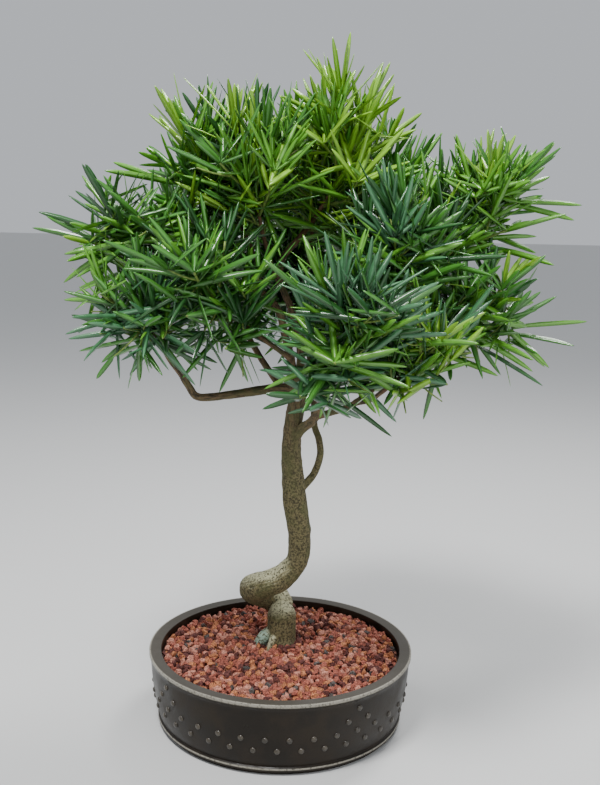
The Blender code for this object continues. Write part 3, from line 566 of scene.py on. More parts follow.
class Recipe(NodeTree):
    """A Geometry Nodes tree under construction, with named inputs."""

    def __init__(self, name, inputs):
        self.tree = bpy.data.node_groups.new(name, "GeometryNodeTree")
        face = self.tree.interface
        face.new_socket("Geometry", in_out="INPUT", socket_type="NodeSocketGeometry")
        self.names = {}
        for label, kind in inputs.items():
            socket = face.new_socket(label, in_out="INPUT", socket_type="NodeSocket" + kind)
            self.names[label] = socket.identifier
        face.new_socket("Geometry", in_out="OUTPUT", socket_type="NodeSocketGeometry")
        self.given = self.tree.nodes.new("NodeGroupInput").outputs
        self.result = self.tree.nodes.new("NodeGroupOutput")

    def named(self, name, kind="FLOAT_VECTOR"):
        """The values of a named attribute."""
        node = self.add("GeometryNodeInputNamedAttribute", {"Name": name}, data_type=kind)
        return node.outputs["Attribute"]

    def finish(self, geometry, material):
        """Ends the tree in a material and its output."""
        painted = self.add("GeometryNodeSetMaterial", {"Geometry": geometry, "Material": material})
        self.tree.links.new(painted.outputs["Geometry"], self.result.inputs["Geometry"])

    def apply(self, carrier, **values):
        """Runs the tree on an object and makes the result its plain mesh."""
        modifier = carrier.modifiers.new("Recipe", "NODES")
        modifier.node_group = self.tree
        for label, value in values.items():
            modifier[self.names[label.replace("_", " ")]] = value
        take_result(carrier)


def take_result(piece):
    """Makes a piece's mesh the result of its modifiers."""
    seen = piece.evaluated_get(bpy.context.evaluated_depsgraph_get())
    mesh = bpy.data.meshes.new_from_object(seen)
    mesh.name = piece.name
    piece.modifiers.clear()
    piece.data = mesh


def seat(piece, material, slot, *nodes):
    """Hands a finished piece to the frame."""
    if not piece.data.materials:
        piece.data.materials.append(material)
    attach(piece, BODY)
    if nodes:
        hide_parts(*nodes)
    return piece


def shade(colour, factor, lift=0.0):
    """A colour made darker or paler."""
    return tuple(min(1.0, channel * factor + lift) for channel in colour)


def blend(start, end, share):
    """The value at a share of the way from start to end."""
    return start + (end - start) * share


def bent(start, middle, end, share):
    """The point at a share of a curve that is drawn towards its middle point."""
    return start * (1 - share) ** 2 + middle * 2 * share * (1 - share) + end * share ** 2


def smooth_route(points, step):
    """Points a step apart on a smooth curve through a route's points of any size."""
    route = [numpy.array(point, dtype=float) for point in points]
    ends = [2 * route[0] - route[1]] + route + [2 * route[-1] - route[-2]]
    fine = []
    for before, start, end, after in zip(ends, ends[1:], ends[2:], ends[3:]):
        count = max(2, math.ceil(numpy.linalg.norm((end - start)[:3]) / step))
        for index in range(count):
            t = index / count
            fine.append(0.5 * (2 * start + (end - before) * t
                               + (2 * before - 5 * start + 4 * end - after) * t ** 2
                               + (3 * start - before - 3 * end + after) * t ** 3))
    fine.append(route[-1])
    return fine


def lengths_along(points):
    """Distance from the first point to each point of a path."""
    walked = [0.0]
    for here, there in zip(points, points[1:]):
        walked.append(walked[-1] + (Vector(there[:3]) - Vector(here[:3])).length)
    return walked


def directions(points):
    """The direction of travel at each point of a path."""
    result = []
    for index in range(len(points)):
        before = Vector(points[max(index - 1, 0)][:3])
        after = Vector(points[min(index + 1, len(points) - 1)][:3])
        result.append((after - before).normalized())
    return result


def ring_faces(rings, sides):
    """Faces of a closed body made of rings of corners, one after the other."""
    faces = [tuple(range(sides))[::-1]]
    for ring in range(rings - 1):
        for side in range(sides):
            low = ring * sides + side
            low_next = ring * sides + (side + 1) % sides
            faces.append((low, low_next, low_next + sides, low + sides))
    faces.append(tuple(range((rings - 1) * sides, rings * sides)))
    return faces


def tube(points, radii, sides):
    """Corners and faces of a closed tube along a path, its rings carried without twist."""
    headings = directions(points)
    across = headings[0].orthogonal().normalized()
    corners = []
    for point, heading, radius in zip(points, headings, radii):
        across = (across - heading * across.dot(heading)).normalized()
        beside = heading.cross(across)
        for side in range(sides):
            turn = 2 * math.pi * side / sides
            spoke = across * math.cos(turn) + beside * math.sin(turn)
            corners.append(Vector(point[:3]) + spoke * radius)
    return corners, ring_faces(len(points), sides)


def limb_tube(rows, sides):
    """A tube whose points carry their radius after their place."""
    return tube(rows, [row[3] for row in rows], sides)


def circle(radius, height, segments):
    """Points round the Z axis."""
    turns = [2 * math.pi * segment / segments for segment in range(segments)]
    return [Vector((radius * math.cos(turn), radius * math.sin(turn), height)) for turn in turns]


def turned(profile, segments):
    """Corners and faces of a turned body whose profile starts and ends on the axis."""
    rims = profile[1:-1]
    corners = [Vector((0.0, 0.0, profile[0][1]))]
    for radius, height in rims:
        corners += circle(radius, height, segments)
    corners.append(Vector((0.0, 0.0, profile[-1][1])))
    last = len(corners) - 1
    faces = []
    for segment in range(segments):
        after = (segment + 1) % segments
        faces.append((0, 1 + after, 1 + segment))
        for ring in range(len(rims) - 1):
            low = 1 + ring * segments
            high = low + segments
            faces.append((low + segment, low + after, high + after, high + segment))
        high = 1 + (len(rims) - 1) * segments
        faces.append((high + segment, high + after, last))
    return corners, faces


def wall_radius(height):
    """Outer radius of the pot's wall, which draws in towards its foot."""
    top = POT_HEIGHT - RIM_DEPTH
    share = (height - WALL_FOOT_HEIGHT) / (top - WALL_FOOT_HEIGHT)
    share = min(max(share, 0.0), 1.0)
    swell = math.sin(math.pi / 2 * share) ** WALL_CURVE
    return blend(WALL_FOOT_RADIUS, WALL_TOP_RADIUS, swell)


def rounded(points, radius):
    """A profile with each of its inner corners rounded."""
    result = [points[0]]
    for before, here, after in zip(points, points[1:], points[2:]):
        start = Vector(before) - Vector(here)
        end = Vector(after) - Vector(here)
        cut = min(radius, start.length * LONGEST_CORNER, end.length * LONGEST_CORNER)
        first = Vector(here) + start.normalized() * cut
        last = Vector(here) + end.normalized() * cut
        for step in range(CORNER_STEPS + 1):
            result.append(tuple(bent(first, Vector(here), last, step / CORNER_STEPS)))
    result.append(points[-1])
    return result


def pot_profile():
    """Radius and height of the pot from its flat underside round to its inner floor."""
    foot = [(0.0, 0.0), (FOOT_RADIUS, 0.0), (FOOT_RADIUS + LIP_BEVEL, LIP_LOW - LIP_EASE),
            (LIP_RADIUS, LIP_LOW), (LIP_RADIUS, LIP_HIGH),
            (WALL_FOOT_RADIUS - LIP_INSET, LIP_HIGH + LIP_BEVEL),
            (WALL_FOOT_RADIUS, WALL_FOOT_HEIGHT)]
    top = POT_HEIGHT - RIM_DEPTH
    wall = []
    for step in range(1, WALL_STEPS):
        height = WALL_FOOT_HEIGHT + (top - WALL_FOOT_HEIGHT) * step / WALL_STEPS
        wall.append((wall_radius(height), height))
    rim = [(WALL_TOP_RADIUS, top), (POT_RADIUS, top + RIM_BEAD / 2),
           (POT_RADIUS, POT_HEIGHT), (POT_RADIUS - RIM_BEAD, POT_HEIGHT - RIM_SLOPE[0]),
           (RIM_INNER_RADIUS, POT_HEIGHT - RIM_SLOPE[1]), (RIM_INNER_RADIUS, FLOOR_THICKNESS),
           (0.0, FLOOR_THICKNESS)]
    return rounded(foot, LIP_ROUNDING) + wall + rounded(rim, RIM_ROUNDING)[1:]


def glaze_finish(settings):
    """Dark stoneware with a soft sheen, mottled, paler grey-brown on the rim's top, worn pale with
    painted highlight along the rim's outer bead, and with a painted highlight along the foot's lip.
    """
    finish = Finish("pot_stoneware", 0.4, Coat_Weight=0.05, Coat_Roughness=0.35,
                    Specular_IOR_Level=0.24)
    place = finish.place()
    clouds = finish.noise(place, 38.0, 5.0)
    specks = finish.noise(place, 420.0, 2.0)
    dark = finish.mix(finish.step(clouds, 0.35, 0.7), settings.glaze,
                      shade(settings.glaze, 1.9))
    flat = finish.place((1.0, 1.0, 0.0))
    radius = finish.add("ShaderNodeVectorMath", {0: flat}, operation="LENGTH").outputs["Value"]
    height = finish.add("ShaderNodeSeparateXYZ", {"Vector": place}).outputs["Z"]
    # Paler grey-brown on the rim's flat top.
    top = finish.step(height, POT_HEIGHT - RIM_GREY_TOP[0], POT_HEIGHT - RIM_GREY_TOP[1])
    grey_rim_top = finish.mix(top, dark, (0.060, 0.052, 0.040))
    # Pale on the rim's outer bead: wear with painted highlight.
    rim = finish.step(height, POT_HEIGHT - RIM_WEAR_AND_HIGHLIGHT[0], POT_HEIGHT - RIM_WEAR_AND_HIGHLIGHT[1])
    edge = finish.step(radius, POT_RADIUS - RIM_EDGE_WEAR_AND_HIGHLIGHT[0], POT_RADIUS - RIM_EDGE_WEAR_AND_HIGHLIGHT[1])
    # Pale on the foot's lip: painted highlight.
    lip = finish.step(height, LIP_HIGH + LIP_HIGHLIGHT_ABOVE[0], LIP_HIGH - LIP_HIGHLIGHT_ABOVE[1])
    lip_low = finish.step(height, LIP_HIGH - LIP_HIGHLIGHT_BELOW[0], LIP_HIGH - LIP_HIGHLIGHT_BELOW[1])
    lip = finish.calculate("MULTIPLY", lip, lip_low)
    lip_edge = finish.step(radius, LIP_RADIUS - LIP_EDGE_HIGHLIGHT, LIP_RADIUS)
    wear_and_highlight = finish.calculate("MULTIPLY", rim, edge)
    foot = finish.calculate("MULTIPLY", lip, lip_edge)
    wear_and_highlight = finish.calculate("ADD", wear_and_highlight, foot)
    worn_and_highlit = finish.calculate("MULTIPLY", wear_and_highlight, finish.step(specks, 0.20, 0.55))
    finish.colour(finish.mix(worn_and_highlit, grey_rim_top, settings.worn_and_highlit))
    finish.roughness(finish.step(clouds, -0.6, 1.9))
    finish.bump(specks, 0.00025, 0.5)
    return finish.material


def stud_finish(settings):
    """Studs of the same stoneware, painted paler than the wall as highlight, and mottled."""
    finish = Finish("pot_stud_wear", 0.34, Coat_Weight=0.2, Coat_Roughness=0.25)
    stud_mottle = finish.noise(finish.place(), 150.0, 3.0)
    finish.colour(finish.mix(finish.step(stud_mottle, 0.35, 0.65), shade(settings.stud_colour, 0.45),
                             settings.stud_colour))
    finish.bump(stud_mottle, 0.0002, 0.4)
    return finish.material


def stud_recipe():
    """Instances a round-headed stud on every point of the wall."""
    recipe = Recipe("Wall studs", {"Radius": "Float", "Material": "Material"})
    ball = recipe.add("GeometryNodeMeshUVSphere", {
        "Segments": STUD_SEGMENTS, "Rings": STUD_RINGS, "Radius": recipe.given["Radius"]})
    placed = recipe.add("GeometryNodeInstanceOnPoints", {
        "Points": recipe.given["Geometry"], "Instance": ball.outputs["Mesh"],
        "Rotation": recipe.named("turn"), "Scale": (1.0, 1.0, STUD_FLATNESS)})
    real = recipe.add("GeometryNodeRealizeInstances", {"Geometry": placed.outputs["Instances"]})
    smooth = recipe.add("GeometryNodeSetShadeSmooth", {"Geometry": real.outputs["Geometry"]})
    recipe.finish(smooth.outputs["Geometry"], recipe.given["Material"])
    return recipe


def points_piece(name, points, vectors):
    """An object of loose points that carry named vectors."""
    mesh = bpy.data.meshes.new(name)
    mesh.from_pydata([tuple(point) for point in points], [], [])
    for label, rows in vectors.items():
        attribute = mesh.attributes.new(label, "FLOAT_VECTOR", "POINT")
        attribute.data.foreach_set("vector", [value for row in rows for value in row])
    return link(name, mesh)


def stud_places(studs_a_row):
    """Angle and height of every stud, measured from the front towards +X."""
    pitch = 2 * math.pi / studs_a_row
    places = []
    for index in range(studs_a_row):
        places.append((STUD_PHASE + (index - 0.5) * pitch, STUD_ROW_HEIGHTS[0]))
        places.append((STUD_PHASE + index * pitch, STUD_ROW_HEIGHTS[1]))
    for corner in range(TRIANGLES):
        peak = STUD_PHASE + 3 * pitch + corner * 2 * math.pi / TRIANGLES
        places.append((peak - pitch / 2, STUD_ROW_HEIGHTS[2]))
        places.append((peak + pitch / 2, STUD_ROW_HEIGHTS[2]))
        places.append((peak, STUD_ROW_HEIGHTS[3]))
    return places


class BONSAI_OT_pot(bpy.types.Operator):
    """Builds the studded drum pot"""

    bl_idname = "bonsai.pot"
    bl_label = "Pot"

    def execute(self, context):
        settings = context.scene.bonsai_pot
        glaze = glaze_finish(settings)
        shape = Shape()
        shape.add(*turned(pot_profile(), POT_SEGMENTS))
        pot = shape.piece("pot_wall")
        pot.data.set_sharp_from_angle(angle=SHARP_ANGLE)
        seat(pot, glaze, "pot", "pot")
        points = []
        turns = []
        for angle, height in stud_places(settings.studs_a_row):
            outwards = Vector((math.sin(angle), -math.cos(angle), 0.0))
            points.append(outwards * wall_radius(height) + UP * height)
            turns.append(outwards.to_track_quat("Z", "Y").to_euler())
        studs = points_piece("pot_studs", points, {"turn": turns})
        # The studs' finish is painted paler as highlight.
        worn_and_highlit = stud_finish(settings)
        stud_recipe().apply(studs, Radius=settings.stud_radius, Material=worn_and_highlit)
        seat(studs, worn_and_highlit, "pot", "pot")
        return {"FINISHED"}


STONE_TONES = {
    "red": (0.340, 0.095, 0.060),
    "rose": (0.520, 0.215, 0.150),
    "maroon": (0.110, 0.026, 0.019),
    "rust": (0.470, 0.170, 0.070),
    "grey": (0.085, 0.070, 0.062),
}
STONE_SHARES = {"red": (0.0, 0.36), "rose": (0.36, 0.58), "maroon": (0.58, 0.76),
                "rust": (0.76, 0.95), "grey": (0.95, 1.01)}
STONES_A_SQUARE_METRE = 60000.0
STONE_TURNS = (6.28, 6.28, 6.28)
STONE_LEAST = (0.62, 0.62, 0.5)
STONE_MOST = (1.35, 1.15, 0.95)
STONE_LUMP_SCALE = 260.0
STONE_LUMP_DEPTH = 0.0085
TONE_SEED = 7
TURN_SEED = 3
SIZE_SEED = 5


def stone_finish(name, colour):
    """Porous lava stone: matt, mottled and pitted, with painted shade darkening its pits."""
    finish = Finish("lava_" + name, 0.9)
    place = finish.place()
    grain = finish.noise(place, 700.0, 3.0)
    pits = finish.cells(place, 900.0)
    deep = shade(colour, 0.45)
    tone = finish.mix(finish.step(grain, 0.35, 0.65), deep, shade(colour, 1.3, 0.01))
    # The pits are painted darker: painted shade in the pores.
    finish.colour(finish.mix(finish.step(pits, 0.0, 0.25), deep, tone))
    finish.bump(pits, 0.0006, 0.8)
    return finish.material


def gravel_recipe():
    """Scatters stones of one tone on a surface, each with its own lumpy form."""
    recipe = Recipe("Lava gravel", {"Spacing": "Float", "Stone": "Float", "Seed": "Int",
                                    "From": "Float", "To": "Float", "Material": "Material"})
    given = recipe.given
    points = recipe.add("GeometryNodeDistributePointsOnFaces", {
        "Mesh": given["Geometry"], "Distance Min": given["Spacing"],
        "Density Max": STONES_A_SQUARE_METRE, "Seed": given["Seed"]},
        distribute_method="POISSON")
    deal = recipe.add("FunctionNodeRandomValue", {"Seed": TONE_SEED}, data_type="FLOAT")
    above = recipe.add("FunctionNodeCompare", {0: deal.outputs[1], 1: given["From"]},
                       data_type="FLOAT", operation="GREATER_EQUAL")
    below = recipe.add("FunctionNodeCompare", {0: deal.outputs[1], 1: given["To"]},
                       data_type="FLOAT", operation="LESS_THAN")
    mine = recipe.add("FunctionNodeBooleanMath", {0: above.outputs[0], 1: below.outputs[0]})
    ball = recipe.add("GeometryNodeMeshIcoSphere", {"Radius": given["Stone"],
                                                    "Subdivisions": 2})
    turn = recipe.add("FunctionNodeRandomValue", {
        0: (0.0, 0.0, 0.0), 1: STONE_TURNS, "Seed": TURN_SEED}, data_type="FLOAT_VECTOR")
    size = recipe.add("FunctionNodeRandomValue", {
        0: STONE_LEAST, 1: STONE_MOST, "Seed": SIZE_SEED}, data_type="FLOAT_VECTOR")
    stones = recipe.add("GeometryNodeInstanceOnPoints", {
        "Points": points.outputs["Points"], "Selection": mine.outputs[0],
        "Instance": ball.outputs["Mesh"], "Rotation": turn.outputs[0],
        "Scale": size.outputs[0]})
    real = recipe.add("GeometryNodeRealizeInstances", {"Geometry": stones.outputs["Instances"]})
    lumps = recipe.add("ShaderNodeTexNoise", {"Scale": STONE_LUMP_SCALE, "Detail": 2.0})
    centred = recipe.add("ShaderNodeVectorMath", {0: lumps.outputs["Color"],
                                                  1: (0.5, 0.5, 0.5)}, operation="SUBTRACT")
    shift = recipe.add("ShaderNodeVectorMath", {
        0: centred.outputs[0], "Scale": STONE_LUMP_DEPTH}, operation="SCALE")
    rough = recipe.add("GeometryNodeSetPosition", {"Geometry": real.outputs["Geometry"],
                                                   "Offset": shift.outputs[0]})
    recipe.finish(rough.outputs["Geometry"], given["Material"])
    return recipe


def soil_surface(lower):
    """The gravel's surface: open disc that falls to the wall, lowered by an amount."""
    corners = [(0.0, 0.0, SOIL_TOP - lower)]
    for ring in range(1, SURFACE_RINGS + 1):
        radius = (SOIL_RADIUS - SURFACE_INSET) * ring / SURFACE_RINGS
        fall = SURFACE_FALL * max(0.0, radius / SOIL_RADIUS - LEVEL_SHARE)
        for place in circle(radius, 0.0, SURFACE_SEGMENTS):
            wave = noise.noise(place * WAVE_SCALE) * WAVE_HEIGHT
            corners.append((place.x, place.y, SOIL_TOP - lower - fall + wave))
    faces = []
    for segment in range(SURFACE_SEGMENTS):
        after = (segment + 1) % SURFACE_SEGMENTS
        faces.append((0, 1 + segment, 1 + after))
        for ring in range(SURFACE_RINGS - 1):
            low = 1 + ring * SURFACE_SEGMENTS
            high = low + SURFACE_SEGMENTS
            faces.append((low + segment, high + segment, high + after, low + after))
    shape = Shape()
    shape.add(corners, faces)
    return shape


class BONSAI_OT_gravel(bpy.types.Operator):
    """Fills the pot with soil and a cover of lava gravel"""

    bl_idname = "bonsai.gravel"
    bl_label = "Gravel"

    def execute(self, context):
        settings = context.scene.bonsai_gravel
        bed_finish = stone_finish("bed", BED_COLOUR)
        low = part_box("soil")[0].z
        profile = [(0.0, low), (SOIL_RADIUS, low), (SOIL_RADIUS, BED_TOP), (0.0, BED_TOP)]
        bed = Shape()
        bed.add(*turned(rounded(profile, BED_ROUNDING), BED_SEGMENTS))
        seat(bed.piece("soil_bed"), bed_finish, "gravel", "soil")
        recipe = gravel_recipe()
        for tone, colour in STONE_TONES.items():
            material = stone_finish(tone, colour)
            start, end = STONE_SHARES[tone]
            for layer, lower in enumerate(LAYER_DEPTHS):
                stones = soil_surface(lower).piece(f"gravel_{tone}_{layer + 1}")
                recipe.apply(stones, Spacing=settings.spacing, Stone=settings.stone,
                             Seed=settings.seed + layer, From=start, To=end, Material=material)
                seat(stones, material, "gravel", "soil")
        return {"FINISHED"}


def stub_rings():
    """Centre height, radius and lobe depth up the domed stub."""
    rings = []
    for step in range(STUB_STEPS):
        share = step / STUB_STEPS
        spread = (1 - share) ** 2
        radius = blend(STUB_RADIUS, FLARE_RADIUS, spread)
        rings.append((BED_TOP + FLARE_HEIGHT * share, radius, FLARE_LOBE_DEPTH * spread))
    shoulder = STUB_TOP - STUB_RADIUS
    rings.append((shoulder, STUB_RADIUS, 0.0))
    for step in range(1, STUB_STEPS):
        turn = math.pi / 2 * step / STUB_STEPS
        height = shoulder + STUB_RADIUS * math.sin(turn)
        rings.append((height, STUB_RADIUS * math.cos(turn), 0.0))
    return rings


def stub_shape():
    """Corners and faces of the lobed foot and domed stub of the trunk."""
    corners = []
    rings = stub_rings()
    for height, radius, depth in rings:
        for side in range(STUB_SIDES):
            turn = 2 * math.pi * side / STUB_SIDES
            lobed = radius * (1 + depth * math.cos(FLARE_LOBES * turn))
            corners.append((STUB_CENTRE[0] + lobed * math.cos(turn),
                            STUB_CENTRE[1] + lobed * math.sin(turn), height))
    return corners, ring_faces(len(rings), STUB_SIDES)


def trunk_route():
    """The coil round the stub and the stem above it: x, y, z and radius."""
    route = []
    for index in range(COIL_POINTS):
        share = index / (COIL_POINTS - 1)
        turn = math.radians(blend(COIL_START_ANGLE, COIL_END_ANGLE, share))
        widen = min(1.0, share * COIL_WIDENING)
        radius = blend(COIL_START_RADIUS, COIL_RADIUS, widen)
        height = blend(COIL_START_HEIGHT, COIL_END_HEIGHT, share)
        thicken = COIL_THICKENING[0] + COIL_THICKENING[1] * widen
        thick = blend(COIL_THICK, COIL_THIN, share) * thicken
        route.append((COIL_CENTRE[0] + radius * math.cos(turn),
                      COIL_CENTRE[1] + radius * math.sin(turn), height, thick))
    return route + list(STEM_ROUTE)


def bough_path(name, step=BOUGH_STEP):
    """The path of a bough and its radius at each point."""
    _, start_radius, end_radius, _, route = BOUGHS[name]
    points = smooth_route(route, step)
    walked = lengths_along(points)
    radii = [start_radius + (end_radius - start_radius) * length / walked[-1]
             for length in walked]
    return points, radii


def root_path(angle, reach, radius):
    """A surface root that leaves the stub and dips into the soil."""
    turn = math.radians(angle)
    outwards = Vector((math.cos(turn), math.sin(turn), 0.0))
    centre = Vector((*STUB_CENTRE, SOIL_TOP))
    rows = []
    for share, lift, width in ROOT_STATIONS:
        place = centre + outwards * reach * share + UP * lift
        rows.append((*place, radius * width))
    return smooth_route(rows, LIMB_STEP)


def bark_skin(name, forms, guides, grain, relief):
    """One closed skin round all the forms, with the relief of bark along its guides."""
    shape = Shape()
    for corners, faces in forms:
        shape.add(corners, faces)
    skin = shape.piece(name)
    remesh = skin.modifiers.new("Skin", "REMESH")
    remesh.mode = "VOXEL"
    remesh.voxel_size = grain
    remesh.adaptivity = 0.0
    soften = skin.modifiers.new("Soften", "SMOOTH")
    soften.factor = SKIN_SOFTENING
    soften.iterations = SKIN_ROUNDS
    take_result(skin)
    samples = []
    for guide in guides:
        headings = directions(guide)
        walked = lengths_along(guide)
        across = headings[0].orthogonal().normalized()
        for point, heading, length in zip(guide, headings, walked):
            across = (across - heading * across.dot(heading)).normalized()
            samples.append((Vector(point[:3]), heading, across.copy(), length, point[3]))
    tree = KDTree(len(samples))
    for index, sample in enumerate(samples):
        tree.insert(sample[0], index)
    tree.balance()
    places = []
    moved = []
    for corner in skin.data.vertices:
        _, index, _ = tree.find(corner.co)
        centre, heading, across, length, radius = samples[index]
        out = corner.co - centre
        flat = out - heading * out.dot(heading)
        flat = flat.normalized() * radius
        beside = heading.cross(across)
        along = length + out.dot(heading)
        place = Vector((flat.dot(across), flat.dot(beside), along))
        places.append(place)
        grooves = noise.noise(Vector((place.x * GROOVES_ACROSS, place.y * GROOVES_ACROSS,
                                      along * GROOVES_ALONG)))
        knobs = noise.noise(corner.co * KNOB_SCALE)
        grit = noise.noise(corner.co * GRIT_SCALE)
        lift = relief * (RELIEF_SHARES[0] * grooves + RELIEF_SHARES[1] * knobs
                         + RELIEF_SHARES[2] * grit)
        moved.append(corner.co + corner.normal * lift * min(1.0, radius / FULL_RELIEF_RADIUS))
    skin.data.vertices.foreach_set("co", [value for row in moved for value in row])
    limb = skin.data.attributes.new("limb", "FLOAT_VECTOR", "POINT")
    limb.data.foreach_set("vector", [value for row in places for value in row])
    skin.data.update()
    skin.data.shade_smooth()
    return skin


def bark_finish(settings):
    """Mottled bark: olive grey plates, brown fissures, dark specks, pale lichen with painted
    highlight on the low trunk's upward faces, and turquoise lichen on a root.
    """
    finish = Finish("bark_trunk", 0.88)
    along = finish.place((1.0, 1.0, 0.22), "limb")
    place = finish.place()
    height = finish.add("ShaderNodeSeparateXYZ", {"Vector": place}).outputs["Z"]
    fissures = finish.noise(along, 480.0, 4.0)
    patches = finish.noise(place, 420.0, 5.0, 0.65)
    clouds = finish.noise(place, 50.0, 4.0)
    specks = finish.noise(place, 620.0, 3.0, 0.7)
    olive = (0.042, 0.035, 0.016)
    turquoise = (0.300, 0.430, 0.330)
    moss = (0.085, 0.090, 0.030)
    warm = (0.170, 0.110, 0.055)
    lichen_and_highlight_colour = (0.500, 0.480, 0.300)
    low = finish.mix(finish.step(patches, 0.40, 0.58), olive, settings.pale)
    high = finish.mix(finish.step(fissures, 0.40, 0.58), settings.dark, warm)
    tone = finish.mix(finish.step(height, *WARM_HEIGHTS), low, high)
    tone = finish.mix(finish.step(clouds, 0.46, 0.62), tone, finish.mix(0.55, tone, moss))
    facing = finish.add("ShaderNodeNewGeometry", {}).outputs["Normal"]
    upward = finish.add("ShaderNodeSeparateXYZ", {"Vector": facing}).outputs["Z"]
    # Upward faces of the low trunk turn pale: lichen with painted highlight.
    lichen_and_highlight_mask = finish.calculate("MULTIPLY", finish.step(upward, 0.10, 0.80),
                             finish.step(patches, 0.38, 0.52))
    lichen_and_highlight_mask = finish.calculate("MULTIPLY", lichen_and_highlight_mask, finish.step(height, *LICHEN_AND_HIGHLIGHT_HEIGHTS))
    tone = finish.mix(lichen_and_highlight_mask, tone, lichen_and_highlight_colour)
    near_lump = finish.add("ShaderNodeVectorMath", {0: place, 1: LICHEN_LUMP},
                           operation="DISTANCE").outputs["Value"]
    lump = finish.calculate("MULTIPLY", finish.step(near_lump, *LICHEN_REACH),
                            finish.step(patches, 0.40, 0.54))
    tone = finish.mix(lump, tone, turquoise)
    tone = finish.mix(finish.step(specks, 0.38, 0.28), tone, settings.dark)
    finish.colour(tone)
    finish.bump(patches, 0.0008, 0.9)
    return finish.material


class BONSAI_OT_limbs(bpy.types.Operator):
    """Covers the trunk and the boughs with one skin of bark each"""

    bl_idname = "bonsai.limbs"
    bl_label = "Limbs"

    def execute(self, context):
        settings = context.scene.bonsai_bark
        bark = bark_finish(settings)
        stem = smooth_route(trunk_route(), LIMB_STEP)
        crown = [(*stem[-1][:2], FORK_HEIGHT + lift, stem[-1][3] * width)
                 for lift, width in CROWN_STATIONS]
        stem_rows = stem + crown
        forms = [stub_shape(), limb_tube(stem_rows, TRUNK_SIDES)]
        centre = Vector(STUB_CENTRE)
        guides = [[(*centre, BED_TOP + LIMB_STEP * index, STUB_RADIUS)
                   for index in range(STUB_GUIDES)], stem_rows]
        for root in ROOTS:
            rows = root_path(*root)
            forms.append(limb_tube(rows, ROOT_SIDES))
            guides.append(rows)
        trunk = bark_skin("trunk_bark", forms, guides, settings.trunk_grain, settings.relief)
        seat(trunk, bark, "bark", "trunk")
        forms = []
        guides = []
        solids = []
        for name, (parent, start, _, split, _) in BOUGHS.items():
            points, radii = bough_path(name, LIMB_STEP)
            walked = lengths_along(points)
            rows = []
            for point, radius, length in zip(points, radii, walked):
                collar = 1.0 + COLLAR_SWELL * math.exp(-length / (start * COLLAR_REACH))
                rows.append((*point[:3], radius * collar))
            if parent is None:
                rows = [(*rows[0][:2], FORK_HEIGHT - LEADER_DEPTH, rows[0][3])] + rows
            forms.append(limb_tube(rows, BOUGH_SIDES))
            guides.append(rows)
            solids += [name + "_inner", name + "_outer"] if split else [name]
        boughs = bark_skin("bough_bark", forms, guides, settings.bough_grain,
                           settings.relief * BOUGH_RELIEF)
        seat(boughs, bark, "bark", *solids)
        return {"FINISHED"}


def limb_samples():
    """Points on the axes of trunk and boughs, with the radius there."""
    fine = smooth_route(trunk_route(), TRUNK_STEP)
    rows = [tuple(point) for point in smooth_route(fine, LIMB_SAMPLE_STEP)]
    for name in BOUGHS:
        points, radii = bough_path(name)
        joined = [(*point[:3], radius) for point, radius in zip(points, radii)]
        rows += [tuple(row) for row in smooth_route(joined, LIMB_SAMPLE_STEP)]
    return numpy.array(rows)


def stem_path(bough, tip):
    """The stem of a mass: from its bough's end, bending to its tip."""
    points, radii = bough_path(bough)
    heading = directions(points)[-1]
    start = Vector(points[-1][:3]) + heading * FIT_GAP
    end = Vector(tip)
    reach = (end - start).length
    bend = start + heading * reach * STEM_BEND
    path = [bent(start, bend, end, index / (STEM_POINTS - 1)) for index in range(STEM_POINTS)]
    return path, heading, radii[-1]


def station(path, share):
    """The place and the direction at a share of the way along a path."""
    place = share * (len(path) - 1)
    low = min(int(place), len(path) - 2)
    along = (path[low + 1] - path[low]).normalized()
    return path[low].lerp(path[low + 1], place - low), along


def leaning(along, turn, angle):
    """The direction that leans out from a path by an angle, at a turn round it."""
    across = along.orthogonal().normalized()
    spoke = across * math.cos(turn) + along.cross(across) * math.sin(turn)
    return along * math.cos(angle) + spoke * math.sin(angle)


def between(start, end, first):
    """Points a sixth of the way apart from a first step to the end."""
    return [tuple(start.lerp(end, step / 6)) for step in range(first, 7)]


def gaps_to(points, others):
    """Least distance from any of the points to any of the other points."""
    if len(others) == 0:
        return numpy.inf
    apart = points[:, None, :] - others[None, :, :3]
    distance = numpy.sqrt((apart ** 2).sum(axis=2))
    if others.shape[1] > 3:
        distance = distance - others[None, :, 3]
    return distance.min()


def skirt(x):
    """Lowest height that a leaf reaches at a place across the crown."""
    return SKIRT_HEIGHT + abs(x - SKIRT_X) * SKIRT_RISES[x > SKIRT_X]


